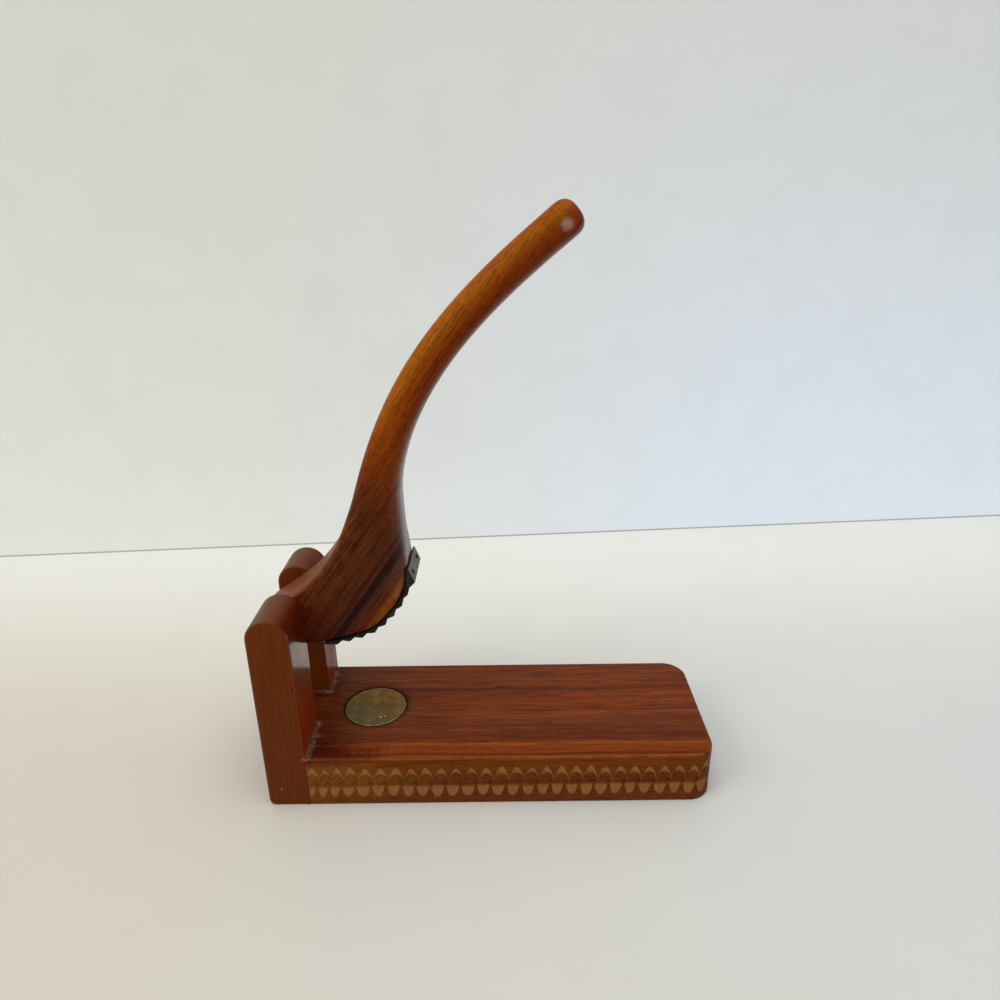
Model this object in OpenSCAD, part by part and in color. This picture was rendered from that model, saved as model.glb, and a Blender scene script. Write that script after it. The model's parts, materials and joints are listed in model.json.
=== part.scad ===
// Lever nutcracker press: a hardwood board with a metal anvil disc let into it,
// two cheeks standing at its left end, and a curved wooden lever between them
// with a toothed strip under its head.
// Millimetres, +Z up. The origin is the middle of the base's underside: the
// board runs along X, the cheeks stand at its -X end, and -Y is the near side.

/* [Board] */
// Length of the board from the cheeks' front faces to its free end
board_len = 192.5; // [170:0.5:230]
// Thickness of the board
board_t = 26.5; // [22:0.5:34]
// Plan radius of the board's two free corners
corner_r = 11.5; // [4:0.5:20]

/* [Cheeks] */
// Size of a cheek along the board
cheek_len = 19.5; // [16:0.5:24]
// Width of the near cheek, across the board
near_cheek_w = 26.4; // [20:0.1:32]
// Width of the far cheek, across the board
far_cheek_w = 23; // [20:0.1:32]
// Height of the near cheek from the surface the base stands on
near_cheek_h = 100; // [96:0.2:112]
// Height of the far cheek from the surface the base stands on
far_cheek_h = 100.8; // [96:0.2:112]
// Plan radius of each cheek's outer back edge
back_edge_r = 3; // [1:0.5:6]

/* [Pivot] */
// Diameter of the hidden pivot pin
pin_d = 6; // [4:0.5:8]
// Radial clearance of the pin in its holes
pin_play = 0.05; // [0.03:0.01:0.08]
// Depth of the pin in each cheek
pin_bite = 12; // [8:0.5:16]
// Distance of the pivot below the top of the near cheek
pivot_drop = 17; // [14:0.5:19]

/* [Lever head] */
// Width of the head and of the toothed strip, across the board
lever_w = 26; // [20:0.1:32]
// Height of the neck's middle above the pivot, to which the head's outline is drawn
head_h = 63.2; // [60:0.2:66]
// Gap between the head and each cheek
side_gap = 0.3; // [0.2:0.05:0.6]

/* [Handle] */
// Length of the handle along its curve, from the neck to the tip
handle_len = 150.5; // [120:0.5:165]
// Slope of the handle at the neck, in degrees above the board
neck_slope = 79; // [70:1:82]
// How many degrees the handle bends forward between neck and tip
handle_bend = 40.5; // [30:0.1:45]
// Thickness of the neck, seen from the side
neck_t = 20.8; // [18:0.1:23]
// Thickness of the grip, seen from the side
grip_t = 15.4; // [12:0.1:18]
// Width of the grip, across the board
grip_w = 19; // [14:0.5:24]
// Length of the rounding at the tip
tip_round = 7; // [4:0.5:10]

/* [Toothed strip] */
// Thickness of the strip at the roots of its teeth
strip_t = 0.9; // [0.6:0.1:1.4]
// Height of the teeth above the roots
tooth_h = 1.5; // [1:0.1:2]
// Distance from one tooth to the next
tooth_pitch = 6.3; // [5:0.1:6.4]
// Number of teeth
tooth_count = 9; // [5:1:9]
// Height of the lip above the wood, at the strip's outer end
lip_h = 4.1; // [3:0.1:5]
// Length of the smooth flank at each end of the strip
end_flank = 5.8; // [5.5:0.1:6.6]
// Diameter of a brad's shank
brad_d = 1.5; // [1.2:0.1:2]
// Diameter of a brad's head
brad_head_d = 2.6; // [2.4:0.1:3.4]
// Length of a brad under its head
brad_len = 9; // [6:0.5:12]
// Distance of each brad from the strip's nearer edge
brad_edge = 5; // [3:0.5:8]

/* [Anvil disc] */
// Diameter of the disc
disc_d = 31; // [24:0.5:36]
// Thickness of the disc
disc_t = 2.5; // [1.5:0.1:5]
// Gap all round the disc in its recess
disc_gap = 0.5; // [0.1:0.1:0.9]
// Distance of the disc's centre from the cheeks' front faces
disc_x = 27; // [22:0.5:40]

/* [Dowels] */
// Diameter of the hidden dowels that hold the cheeks
dowel_d = 6; // [4:0.5:8]
// Depth of a dowel in each cheek
dowel_bite = 14; // [8:0.5:17]
// Distance of each dowel from the board's nearer face
dowel_edge = 8; // [6:0.5:9]
// Distance between the two dowels along the board
dowel_step = 8; // [6.5:0.5:9]

/* [Hidden] */
$fn = 64;
glue_gap = 0.05;                     // room for glue round a dowel, brad or disc
brad_head_t = 0.5;
overrun = 1;                         // how far a cut or a joined block runs on

slot_w = lever_w + 2 * side_gap;
base_w = near_cheek_w + slot_w + far_cheek_w;
joint_x = -(board_len - cheek_len) / 2;          // the cheeks' front faces
back_x = joint_x - cheek_len;
near_y = -base_w / 2;
slot_y = near_y + near_cheek_w;                  // near side of the slot
mid_y = slot_y + slot_w / 2;                     // middle plane of the lever
pivot = [joint_x - cheek_len / 2, mid_y, near_cheek_h - pivot_drop];

// The lever is lofted through rows [back x, back z, front x, front z, squareness,
// width], measured from the pivot: its back outline, its front outline, the
// superellipse exponent of the section between them, and its width across.
// Outline of the head in hundredths of head_h, with the squareness of each row,
// from the heel behind the pivot up to the neck:
head_outline = [
    [-20.3, 0.8, -19.6, -7.1, 6],
    [-16.6, 6.8, -13.4, -16.1, 12],
    [-5.5, 14.6, 1.6, -17.4, 14],
    [7.9, 23.7, 20.6, -17.2, 14],
    [19, 32.6, 41.9, -12.7, 14],
    [28.5, 42.4, 64.1, -5.2, 14],
    [37.2, 53.5, 77.8, 7, 13],
    [44.3, 65.3, 88, 21.5, 11],
    [49.8, 77.5, 93.4, 39.6, 8],
    [54.1, 89.4, 91.8, 68, 3.6]
];
head_unit = head_h / 100;
head_rows = [for (r = head_outline)
    concat([for (k = [0:3]) r[k] * head_unit], [r[4], lever_w])];
seat_first = 3;                      // the strip's seat starts just past this row
seat_start = 0.3;                    // as a share of the way to the next row
head_steps = 4;                      // loft steps between two rows of the head
neck_at = [74.8, 100] * head_unit;   // centreline of the lever where the handle starts
neck_square = 3.2;
grip_square = 2.6;
neck_blend = 22;                     // length over which the neck thins into the grip
narrowing = 60;                      // length over which the head's width runs out
handle_step = 6;
tip_steps = 6;
ring = 28;                           // points round the lever

function catmull(a, b, c, d, t) =
    0.5 * (2 * b + (c - a) * t + (2 * a - 5 * b + 4 * c - d) * t * t
           + (3 * b - a - 3 * c + d) * t * t * t);

// Handle: the slope eases from neck_slope by handle_bend along a quarter sine.
function slope(s) = neck_slope - handle_bend * sin(90 * s / handle_len);
function centre(s) = s < 0.01 ? neck_at
    : centre(s - min(s, 1)) + min(s, 1) * [cos(slope(s - min(s, 1) / 2)),
                                           sin(slope(s - min(s, 1) / 2))];
function thickness(s) = grip_t + (neck_t - grip_t) * exp(-s / neck_blend);
function width(s) =
    grip_w + (lever_w - grip_w) * (s < narrowing ? 0.5 + 0.5 * cos(180 * s / narrowing) : 0);
function squareness(s) = grip_square + (neck_square - grip_square) * exp(-s / neck_blend);
function handle_row(s, shrink = 1) =
    let (c = centre(s), n = [-sin(slope(s)), cos(slope(s))] * thickness(s) * shrink / 2)
    [c.x + n.x, c.y + n.y, c.x - n.x, c.y - n.y, squareness(s), width(s) * shrink];

handle_body = handle_len - tip_round;
handle_count = ceil(handle_body / handle_step);
head_knots = concat(head_rows, [handle_row(0), handle_row(handle_step)]);
head_last = len(head_rows) - 1;
function head_row(i, t) =
    catmull(head_knots[max(i - 1, 0)], head_knots[i], head_knots[i + 1], head_knots[i + 2], t);

head_loft = [for (i = [0:head_last], k = [0:head_steps - 1]) head_row(i, k / head_steps)];
handle_loft = [for (k = [0:handle_count - 1]) handle_row(k * handle_body / handle_count)];
tip_loft = [for (k = [0:tip_steps])
    let (a = 84 * k / tip_steps, e = 2 / grip_square)
    handle_row(handle_body + tip_round * pow(sin(a), e), pow(cos(a), e))];
lever_loft = concat(head_loft, handle_loft, tip_loft);

function spow(v, e) = sign(v) * pow(abs(v), e);
function section(row) = [for (j = [0:ring - 1])
    let (a = 360 * j / ring, u = spow(cos(a), 2 / row[4]), v = spow(sin(a), 2 / row[4]))
    [((1 + u) * row[0] + (1 - u) * row[2]) / 2,
     v * row[5] / 2,
     ((1 + u) * row[1] + (1 - u) * row[3]) / 2]];

// Seat of the strip: the front outline of the head, and its length from the start.
seat_steps = 3 * head_steps;
seat_line = [for (i = [seat_first:head_last - 1], k = [0:seat_steps - 1])
    let (t = k / seat_steps, r = head_row(i, t))
    if (i > seat_first || t >= seat_start) [r[2], r[3]]];
function run_to(i) = i == 0 ? 0 : run_to(i - 1) + norm(seat_line[i] - seat_line[i - 1]);
seat_run = [for (i = [0:len(seat_line) - 1]) run_to(i)];
function seat_index(s, i = 1) = i >= len(seat_run) - 1 || seat_run[i] >= s ? i : seat_index(s, i + 1);
// The point at length s along the seat, moved out from the wood by h.
function on_seat(s, h) =
    let (i = seat_index(s), a = seat_line[i - 1], b = seat_line[i], d = (b - a) / norm(b - a))
    a + d * (s - seat_run[i - 1]) + h * [d.y, -d.x];

strip_len = 2 * end_flank + (tooth_count - 1) * tooth_pitch;
root_share = 0.47;                   // where a root lies on the way to the next crest
root_h = glue_gap + strip_t;
crest_h = root_h + tooth_h;
last_tooth = tooth_count - 1;
// The outermost crest is the lip, and the root beside it rises half as far.
function crest(i) = on_seat(end_flank + i * tooth_pitch, i == last_tooth ? lip_h : crest_h);
function root(i) = on_seat(end_flank + (i + root_share) * tooth_pitch,
    i == last_tooth - 1 ? root_h + (lip_h - crest_h) / 2 : root_h);
strip_teeth = concat([for (i = [0:last_tooth - 1]) each [crest(i), root(i)]], [crest(last_tooth)]);
strip_back = [for (i = [len(seat_line) - 1:-1:0])
    if (seat_run[i] > 0 && seat_run[i] < strip_len) on_seat(seat_run[i], glue_gap)];

// Brads stand square to the strip's two end flanks: [foot point, direction].
flanks = [[on_seat(0, root_h), crest(0)], [crest(last_tooth), on_seat(strip_len, root_h)]];
brad_offset = lever_w / 2 - brad_edge;
brads = [for (f = flanks, side = [-1, 1])
    let (d = (f[1] - f[0]) / norm(f[1] - f[0]), p = (f[0] + f[1]) / 2)
    [[p.x, side * brad_offset, p.y], atan2(d.y, -d.x)]];

dowels = [[pivot.x - dowel_step / 2, dowel_edge], [pivot.x + dowel_step / 2, board_t - dowel_edge]];

// A straight round bar or hole along Y.
module along_y(r, y0, y1) {
    translate([0, y1, 0]) rotate([90, 0, 0]) cylinder(r = r, h = y1 - y0);
}

module in_lever_place() {
    translate(pivot) children();
}

module dowel(i, room = 0) {
    translate([dowels[i].x, 0, dowels[i].y])
        along_y(dowel_d / 2 + room, slot_y - dowel_bite - room, slot_y + slot_w + dowel_bite + room);
}

module pin(room = 0) {
    translate([pivot.x, 0, pivot.z])
        along_y(pin_d / 2 + room, slot_y - pin_bite - room, slot_y + slot_w + pin_bite + room);
}

// One brad from its list entry; room widens it into the hole that takes it.
module brad(i, room = 0) {
    translate(brads[i][0]) rotate([0, brads[i][1], 0]) {
        translate([0, 0, -brad_len - room]) cylinder(d = brad_d + 2 * room, h = brad_len + room, $fn = 24);
        if (room == 0) cylinder(d1 = brad_head_d, d2 = brad_head_d * 0.7, h = brad_head_t, $fn = 24);
    }
}

module base_board() {
    color([0.45, 0.17, 0.08]) difference() {
        union() {
            translate([joint_x, near_y, 0]) cube([board_len - corner_r, base_w, board_t]);
            translate([joint_x, near_y + corner_r, 0]) cube([board_len, base_w - 2 * corner_r, board_t]);
            for (y = [near_y + corner_r, -near_y - corner_r])
                translate([joint_x + board_len - corner_r, y, 0]) cylinder(r = corner_r, h = board_t);
            // The tongue runs back between the cheeks.
            translate([back_x, slot_y, 0]) cube([cheek_len + overrun, slot_w, board_t]);
        }
        translate([joint_x + disc_x, mid_y, board_t - disc_t - glue_gap])
            cylinder(d = disc_d + 2 * disc_gap, h = disc_t + overrun, $fn = 96);
        for (i = [0:len(dowels) - 1]) dowel(i, glue_gap);
    }
}

// A cheek of height h from y0 to y1, round on top, with its back edge at y_out rounded.
module cheek(h, y0, y1, y_out) {
    in = y_out == y0 ? 1 : -1;
    difference() {
        intersection() {
            union() {
                translate([back_x, y0, 0]) cube([cheek_len, y1 - y0, h - cheek_len / 2]);
                translate([pivot.x, 0, h - cheek_len / 2]) along_y(cheek_len / 2, y0, y1);
            }
            union() {
                translate([back_x + back_edge_r, y0, 0]) cube([cheek_len, y1 - y0, h]);
                translate([back_x, y0 + (in > 0 ? back_edge_r : 0), 0])
                    cube([cheek_len, y1 - y0 - back_edge_r, h]);
                translate([back_x + back_edge_r, y_out + in * back_edge_r, 0])
                    cylinder(r = back_edge_r, h = h);
            }
        }
        pin(pin_play);
        for (i = [0:len(dowels) - 1]) dowel(i, glue_gap);
    }
}

module near_cheek() {
    color([0.42, 0.19, 0.10]) cheek(near_cheek_h, near_y, slot_y, near_y);
}

module far_cheek() {
    color([0.42, 0.19, 0.10]) cheek(far_cheek_h, slot_y + slot_w, -near_y, -near_y);
}

module anvil_disc() {
    color([0.48, 0.42, 0.22])
        translate([joint_x + disc_x, mid_y, board_t - disc_t]) cylinder(d = disc_d, h = disc_t, $fn = 96);
}

module pivot_pin() {
    color("silver") pin();
}

module cheek_dowel(i) {
    color([0.76, 0.60, 0.40]) dowel(i);
}

module lever_solid() {
    points = concat([for (row = lever_loft) each section(row)]);
    last = len(lever_loft) - 1;
    sides = [for (i = [0:last - 1], j = [0:ring - 1]) each
        [[i * ring + j, i * ring + (j + 1) % ring, (i + 1) * ring + (j + 1) % ring],
         [i * ring + j, (i + 1) * ring + (j + 1) % ring, (i + 1) * ring + j]]];
    ends = [[for (j = [ring - 1:-1:0]) j], [for (j = [0:ring - 1]) last * ring + j]];
    polyhedron(points, concat(sides, ends));
}

module lever() {
    color([0.50, 0.22, 0.08]) difference() {
        in_lever_place() lever_solid();
        pin(pin_play);
        in_lever_place() for (i = [0:len(brads) - 1]) brad(i, glue_gap);
    }
}

module toothed_strip() {
    outline = concat([on_seat(0, glue_gap), on_seat(0, root_h)], strip_teeth,
        [on_seat(strip_len, root_h), on_seat(strip_len, glue_gap)], strip_back);
    color([0.18, 0.17, 0.16]) in_lever_place() difference() {
        translate([0, lever_w / 2, 0]) rotate([90, 0, 0]) linear_extrude(lever_w) polygon(outline);
        for (i = [0:len(brads) - 1]) brad(i, glue_gap);
    }
}

module strip_brad(i) {
    color([0.30, 0.29, 0.27]) in_lever_place() brad(i);
}

base_board();
near_cheek();
far_cheek();
anvil_disc();
pivot_pin();
lever();
toothed_strip();
for (i = [1:len(dowels)]) cheek_dowel(i - 1);
for (i = [1:len(brads)]) strip_brad(i - 1);
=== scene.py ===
"""Lever nutcracker press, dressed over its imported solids.

Sizes are in millimetres until a mesh is made, and in metres from there on. The
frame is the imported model's: +X along the board away from the cheeks, -Y the near
side, +Z up.
"""

import json
import logging
import math
from dataclasses import dataclass, field
from enum import Enum

import bpy
import numpy as np
from mathutils import Matrix, Vector
from mathutils.geometry import tessellate_polygon


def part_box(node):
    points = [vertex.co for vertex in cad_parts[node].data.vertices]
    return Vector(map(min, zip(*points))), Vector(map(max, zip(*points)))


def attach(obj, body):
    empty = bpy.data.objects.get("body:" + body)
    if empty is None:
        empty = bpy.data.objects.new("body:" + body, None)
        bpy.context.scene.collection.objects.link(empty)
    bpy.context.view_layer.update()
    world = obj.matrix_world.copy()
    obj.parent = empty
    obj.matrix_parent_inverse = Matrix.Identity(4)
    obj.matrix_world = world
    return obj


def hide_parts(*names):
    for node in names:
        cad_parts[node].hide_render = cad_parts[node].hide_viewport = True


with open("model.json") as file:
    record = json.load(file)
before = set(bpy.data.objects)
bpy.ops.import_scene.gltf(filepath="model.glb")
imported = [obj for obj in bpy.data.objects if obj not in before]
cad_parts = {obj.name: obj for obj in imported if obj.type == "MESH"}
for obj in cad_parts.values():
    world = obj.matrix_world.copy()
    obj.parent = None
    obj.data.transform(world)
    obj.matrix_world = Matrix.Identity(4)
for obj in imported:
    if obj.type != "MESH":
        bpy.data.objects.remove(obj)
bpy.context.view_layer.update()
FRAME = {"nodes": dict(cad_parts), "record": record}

LOG = logging.getLogger("nutcracker")
MM = 0.001

Point = tuple[float, float, float]
Tone = tuple[int, int, int]


class Body(Enum):
    """The two bodies that the hinge joins."""

    BASE = "base"
    LEVER = "lever"


class Way(Enum):
    """Directions in which the wood's fibres run, as the pitch above +X in degrees."""

    ALONG_BOARD = 0.0
    UPRIGHT = 90.0
    ACROSS_LEVER = 54.0


def linear(tone: Tone) -> tuple[float, float, float, float]:
    """Turns an 8-bit display tone into the linear colour that a shader takes.

    Args:
        tone: red, green and blue from 0 to 255.

    Returns:
        The linear colour with alpha 1.
    """
    parts = [c / 255 for c in tone]
    flat = [c / 12.92 if c <= 0.04045 else ((c + 0.055) / 1.055) ** 2.4 for c in parts]
    return (flat[0], flat[1], flat[2], 1.0)


def catmull(a: np.ndarray, b: np.ndarray, c: np.ndarray, d: np.ndarray, t: float) -> np.ndarray:
    """Returns the point at share t between b and c on the smooth curve a, b, c, d."""
    return 0.5 * (
        2 * b + (c - a) * t + (2 * a - 5 * b + 4 * c - d) * t**2 + (3 * b - a - 3 * c + d) * t**3
    )


def signed_power(value: np.ndarray, exponent: float) -> np.ndarray:
    """Raises the size of value to exponent and keeps its sign."""
    return np.sign(value) * np.abs(value) ** exponent


def wobble(s: np.ndarray, z: np.ndarray, size: float, seed: float) -> np.ndarray:
    """A smooth unevenness from -1 to 1, such as a hand tool leaves.

    Args:
        s: position along the surface.
        z: position across it.
        size: length of one swell.
        seed: shifts the pattern.

    Returns:
        The unevenness at each point.
    """
    k = 2 * math.pi / size
    return (
        np.sin(k * s + 1.7 * seed + 1.3 * np.sin(0.61 * k * z + seed))
        + np.sin(0.53 * k * s - 1.13 * k * z + 2.9 * seed)
        + np.sin(1.37 * k * z + 0.31 * k * s + 4.1 * seed)
    ) / 3


# --- Shader nodes ---------------------------------------------------------------


class Bench:
    """Adds and joins the nodes of one tree."""

    def __init__(self, tree: bpy.types.NodeTree) -> None:
        """Takes the tree that the nodes go into."""
        self.tree = tree

    def add(self, kind: str, feeds: dict | None = None, **settings: object) -> bpy.types.Node:
        """Adds a node.

        Args:
            kind: the node's type name, without "ShaderNode".
            feeds: for each input, its value or the output that feeds it.
            **settings: attributes of the node.

        Returns:
            The new node.
        """
        node = self.tree.nodes.new("ShaderNode" + kind)
        for name, value in settings.items():
            setattr(node, name, value)
        for key, value in (feeds or {}).items():
            if isinstance(value, bpy.types.NodeSocket):
                self.tree.links.new(value, node.inputs[key])
            else:
                node.inputs[key].default_value = value
        return node

    def sum(self, operation: str, a: object, b: object = 0.0, clamp: bool = False) -> bpy.types.NodeSocket:
        """Returns the result of a Math node on a and b."""
        return self.add("Math", {0: a, 1: b}, operation=operation, use_clamp=clamp).outputs[0]

    def scaled(self, vector: object, by: Point) -> bpy.types.NodeSocket:
        """Returns the vector with each part multiplied."""
        return self.add("VectorMath", {0: vector, 1: by}, operation="MULTIPLY").outputs[0]

    def shifted(self, vector: object, by: object) -> bpy.types.NodeSocket:
        """Returns the sum of two vectors."""
        return self.add("VectorMath", {0: vector, 1: by}, operation="ADD").outputs[0]

    def noise(self, vector: object, scale: float, detail: float = 2.0, rough: float = 0.5) -> bpy.types.NodeSocket:
        """Returns a noise from 0 to 1."""
        feeds = {"Vector": vector, "Scale": scale, "Detail": detail, "Roughness": rough}
        return self.add("TexNoise", feeds).outputs[0]

    def span(self, value: object, low: object, high: object, to_low: float = 0.0, to_high: float = 1.0) -> bpy.types.NodeSocket:
        """Returns value eased from the range low..high into to_low..to_high."""
        feeds = {0: value, 1: low, 2: high, 3: to_low, 4: to_high}
        return self.add("MapRange", feeds, interpolation_type="SMOOTHSTEP").outputs[0]

    def blend(self, share: object, a: object, b: object, mode: str = "MIX") -> bpy.types.NodeSocket:
        """Returns colour a with share of colour b over it."""
        node = self.add("Mix", {0: share, 6: a, 7: b}, data_type="RGBA", blend_type=mode)
        return node.outputs[2]

    def ramp(self, value: object, stops: tuple[tuple[float, Tone], ...]) -> bpy.types.NodeSocket:
        """Returns the colour of value on a ramp of (place from 0 to 1, tone)."""
        node = self.add("ValToRGB", {0: value})
        band = node.color_ramp
        while len(band.elements) < len(stops):
            band.elements.new(0.5)
        for element, (place, tone) in zip(band.elements, stops):
            element.position = place
            element.color = linear(tone)
        return node.outputs[0]


@dataclass(frozen=True)
class Effect:
    """A shared effect as a node group with named inputs and outputs."""

    name: str

    def socket(self, tree: bpy.types.NodeTree, name: str, way: str, kind: str, value: float | None = None) -> None:
        """Adds one named socket to the group.

        Args:
            tree: the group.
            name: the socket's name.
            way: "INPUT" or "OUTPUT".
            kind: "Float", "Vector" or "Color".
            value: what an input holds by itself.
        """
        made = tree.interface.new_socket(name, in_out=way, socket_type="NodeSocket" + kind)
        if value is not None:
            made.default_value = value

    def group(self) -> bpy.types.NodeTree:
        """Returns the group, and builds it on the first call."""
        found = bpy.data.node_groups.get(self.name)
        if found:
            return found
        tree = bpy.data.node_groups.new(self.name, "ShaderNodeTree")
        self.wire(tree)
        return tree

    def wire(self, tree: bpy.types.NodeTree) -> None:
        """Fills the group. Each effect has its own."""
        raise NotImplementedError

    def place(self, bench: Bench, feeds: dict) -> bpy.types.Node:
        """Adds the group to a material.

        Args:
            bench: the material's bench.
            feeds: values or outputs for the group's inputs.

        Returns:
            The group's node.
        """
        node = bench.tree.nodes.new("ShaderNodeGroup")
        node.node_tree = self.group()
        for key, value in feeds.items():
            if isinstance(value, bpy.types.NodeSocket):
                bench.tree.links.new(value, node.inputs[key])
            else:
                node.inputs[key].default_value = value
        return node


class WoodFigure(Effect):
    """Bands, fibres and pores of a hardwood whose fibres run along the vector's X."""

    def wire(self, tree: bpy.types.NodeTree) -> None:
        """Builds the figure from stretched noises."""
        self.socket(tree, "Vector", "INPUT", "Vector")
        self.socket(tree, "Band Size", "INPUT", "Float", 6.0)
        self.socket(tree, "Wander", "INPUT", "Float", 3.0)
        self.socket(tree, "Pore Share", "INPUT", "Float", 0.5)
        for name in ("Bands", "Fibres", "Pores", "Height", "Drift"):
            self.socket(tree, name, "OUTPUT", "Float")
        bench = Bench(tree)
        taken = tree.nodes.new("NodeGroupInput").outputs
        given = tree.nodes.new("NodeGroupOutput").inputs
        drift = bench.noise(bench.scaled(taken["Vector"], (0.009, 0.03, 0.03)), 1.0, 1.0)
        centred = bench.sum("SUBTRACT", drift, 0.5)
        push = bench.sum("MULTIPLY", centred, taken["Wander"])
        aside = bench.add("CombineXYZ", {0: 0.0, 1: push, 2: push}).outputs[0]
        led = bench.shifted(taken["Vector"], aside)
        per_band = bench.sum("DIVIDE", 1.0, taken["Band Size"])
        wide = bench.add("VectorMath", {0: bench.scaled(led, (0.03, 1.0, 1.0)), 3: per_band}, operation="SCALE")
        bands = bench.noise(wide.outputs[0], 1.0, 2.0, 0.5)
        fibres = bench.noise(bench.scaled(led, (0.05, 1.8, 1.8)), 1.0, 4.0, 0.65)
        cells = bench.add("TexVoronoi", {"Vector": bench.scaled(led, (0.22, 1.9, 1.9)), "Scale": 1.0})
        pick = bench.add("SeparateColor", {0: cells.outputs["Color"]}).outputs[0]
        chosen = bench.sum("LESS_THAN", pick, taken["Pore Share"])
        near = bench.span(cells.outputs["Distance"], 0.14, 0.42, 1.0, 0.0)
        pores = bench.sum("MULTIPLY", near, chosen)
        relief = bench.sum("SUBTRACT", bench.sum("MULTIPLY", fibres, 0.45), bench.sum("MULTIPLY", pores, 0.55))
        for name, value in (("Bands", bands), ("Fibres", fibres), ("Pores", pores), ("Height", relief), ("Drift", centred)):
            tree.links.new(value, given[name])


class EdgeRub(Effect):
    """Edges rubbed by handling, broken up so that no edge is rubbed evenly."""

    def wire(self, tree: bpy.types.NodeTree) -> None:
        """Builds the mask from the painted edge share and a noise."""
        self.socket(tree, "Vector", "INPUT", "Vector")
        self.socket(tree, "Edge", "INPUT", "Float", 0.0)
        self.socket(tree, "Patch Size", "INPUT", "Float", 5.0)
        self.socket(tree, "Rub", "OUTPUT", "Float")
        bench = Bench(tree)
        taken = tree.nodes.new("NodeGroupInput").outputs
        given = tree.nodes.new("NodeGroupOutput").inputs
        per_patch = bench.sum("DIVIDE", 1.0, taken["Patch Size"])
        at = bench.add("VectorMath", {0: taken["Vector"], 3: per_patch}, operation="SCALE").outputs[0]
        patches = bench.span(bench.noise(at, 1.0, 4.0, 0.6), 0.36, 0.62)
        tree.links.new(bench.sum("MULTIPLY", patches, taken["Edge"], True), given["Rub"])


class Handling(Effect):
    """Smears, fine scuffs and specks of dust that a used surface carries."""

    def wire(self, tree: bpy.types.NodeTree) -> None:
        """Builds the smears, the scuffs and the specks."""
        self.socket(tree, "Vector", "INPUT", "Vector")
        self.socket(tree, "Speck Share", "INPUT", "Float", 0.02)
        for name in ("Smear", "Scuff", "Speck"):
            self.socket(tree, name, "OUTPUT", "Float")
        bench = Bench(tree)
        taken = tree.nodes.new("NodeGroupInput").outputs
        given = tree.nodes.new("NodeGroupOutput").inputs
        smear = bench.noise(bench.scaled(taken["Vector"], (0.06, 0.09, 0.07)), 1.0, 3.0, 0.55)
        scratch = bench.noise(bench.scaled(taken["Vector"], (0.25, 3.2, 1.9)), 1.0, 2.0, 0.7)
        cells = bench.add("TexVoronoi", {"Vector": taken["Vector"], "Scale": 0.45})
        pick = bench.add("SeparateColor", {0: cells.outputs["Color"]}).outputs[1]
        chosen = bench.sum("LESS_THAN", pick, taken["Speck Share"])
        speck = bench.sum("MULTIPLY", bench.span(cells.outputs["Distance"], 0.05, 0.13, 1.0, 0.0), chosen)
        for name, value in (("Smear", smear), ("Scuff", bench.span(scratch, 0.62, 0.74)), ("Speck", speck)):
            tree.links.new(value, given[name])


class FootDust(Effect):
    """Old dust and glue in the corner where the board meets the cheeks."""

    def wire(self, tree: bpy.types.NodeTree) -> None:
        """Builds the mask from the distance to the cheeks' front faces."""
        self.socket(tree, "Vector", "INPUT", "Vector")
        self.socket(tree, "Wall X", "INPUT", "Float", -86.5)
        self.socket(tree, "Floor Z", "INPUT", "Float", 26.5)
        self.socket(tree, "Slot Middle", "INPUT", "Float", 1.7)
        self.socket(tree, "Slot Half", "INPUT", "Float", 13.3)
        self.socket(tree, "Reach", "INPUT", "Float", 3.6)
        self.socket(tree, "Dust", "OUTPUT", "Float")
        bench = Bench(tree)
        taken = tree.nodes.new("NodeGroupInput").outputs
        given = tree.nodes.new("NodeGroupOutput").inputs
        part = bench.add("SeparateXYZ", {0: taken["Vector"]}).outputs
        off_x = bench.sum("SUBTRACT", part[0], taken["Wall X"])
        off_z = bench.sum("ABSOLUTE", bench.sum("SUBTRACT", part[2], taken["Floor Z"]))
        off = bench.sum("ADD", bench.sum("ABSOLUTE", off_x), bench.sum("MULTIPLY", off_z, 1.6))
        spread = bench.noise(bench.scaled(taken["Vector"], (0.0, 0.16, 0.0)), 1.0, 2.0)
        reach = bench.sum("MULTIPLY", taken["Reach"], bench.span(spread, 0.35, 0.65, 0.35, 1.5))
        close = bench.span(off, bench.sum("MULTIPLY", reach, 0.2), reach, 1.0, 0.0)
        side = bench.sum("ABSOLUTE", bench.sum("SUBTRACT", part[1], taken["Slot Middle"]))
        beside = bench.sum("GREATER_THAN", side, bench.sum("SUBTRACT", taken["Slot Half"], 2.0))
        bits = bench.noise(taken["Vector"], 1.3, 3.0, 0.75)
        far_side = bench.sum("ADD", taken["Slot Middle"], taken["Slot Half"])
        off_y = bench.sum("ABSOLUTE", bench.sum("SUBTRACT", part[1], far_side))
        seam = bench.span(bench.sum("ADD", off_y, bench.sum("MULTIPLY", off_z, 1.6)), 0.4, 1.3, 1.0, 0.0)
        seam = bench.sum("MULTIPLY", seam, bench.sum("LESS_THAN", off_x, 1.0))
        lying = bench.sum("MAXIMUM", bench.sum("MULTIPLY", close, beside), seam)
        tree.links.new(bench.sum("MULTIPLY", lying, bench.span(bits, 0.47, 0.56)), given["Dust"])


WOOD_FIGURE = WoodFigure("wood_figure")
FOOT_DUST = FootDust("foot_dust")
EDGE_RUB = EdgeRub("edge_rub")
HANDLING = Handling("handling")


# --- Finishes -------------------------------------------------------------------


@dataclass(frozen=True)
class Streak:
    """A streak in the timber, lying at one place across its fibres."""

    at: float
    half: float
    tone: Tone
    strength: float
    patchy: float = 0.35


@dataclass(frozen=True)
class Drift:
    """A slow change of tone along one direction through the timber."""

    toward: Point
    start: float
    end: float
    tone: Tone
    strength: float


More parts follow.
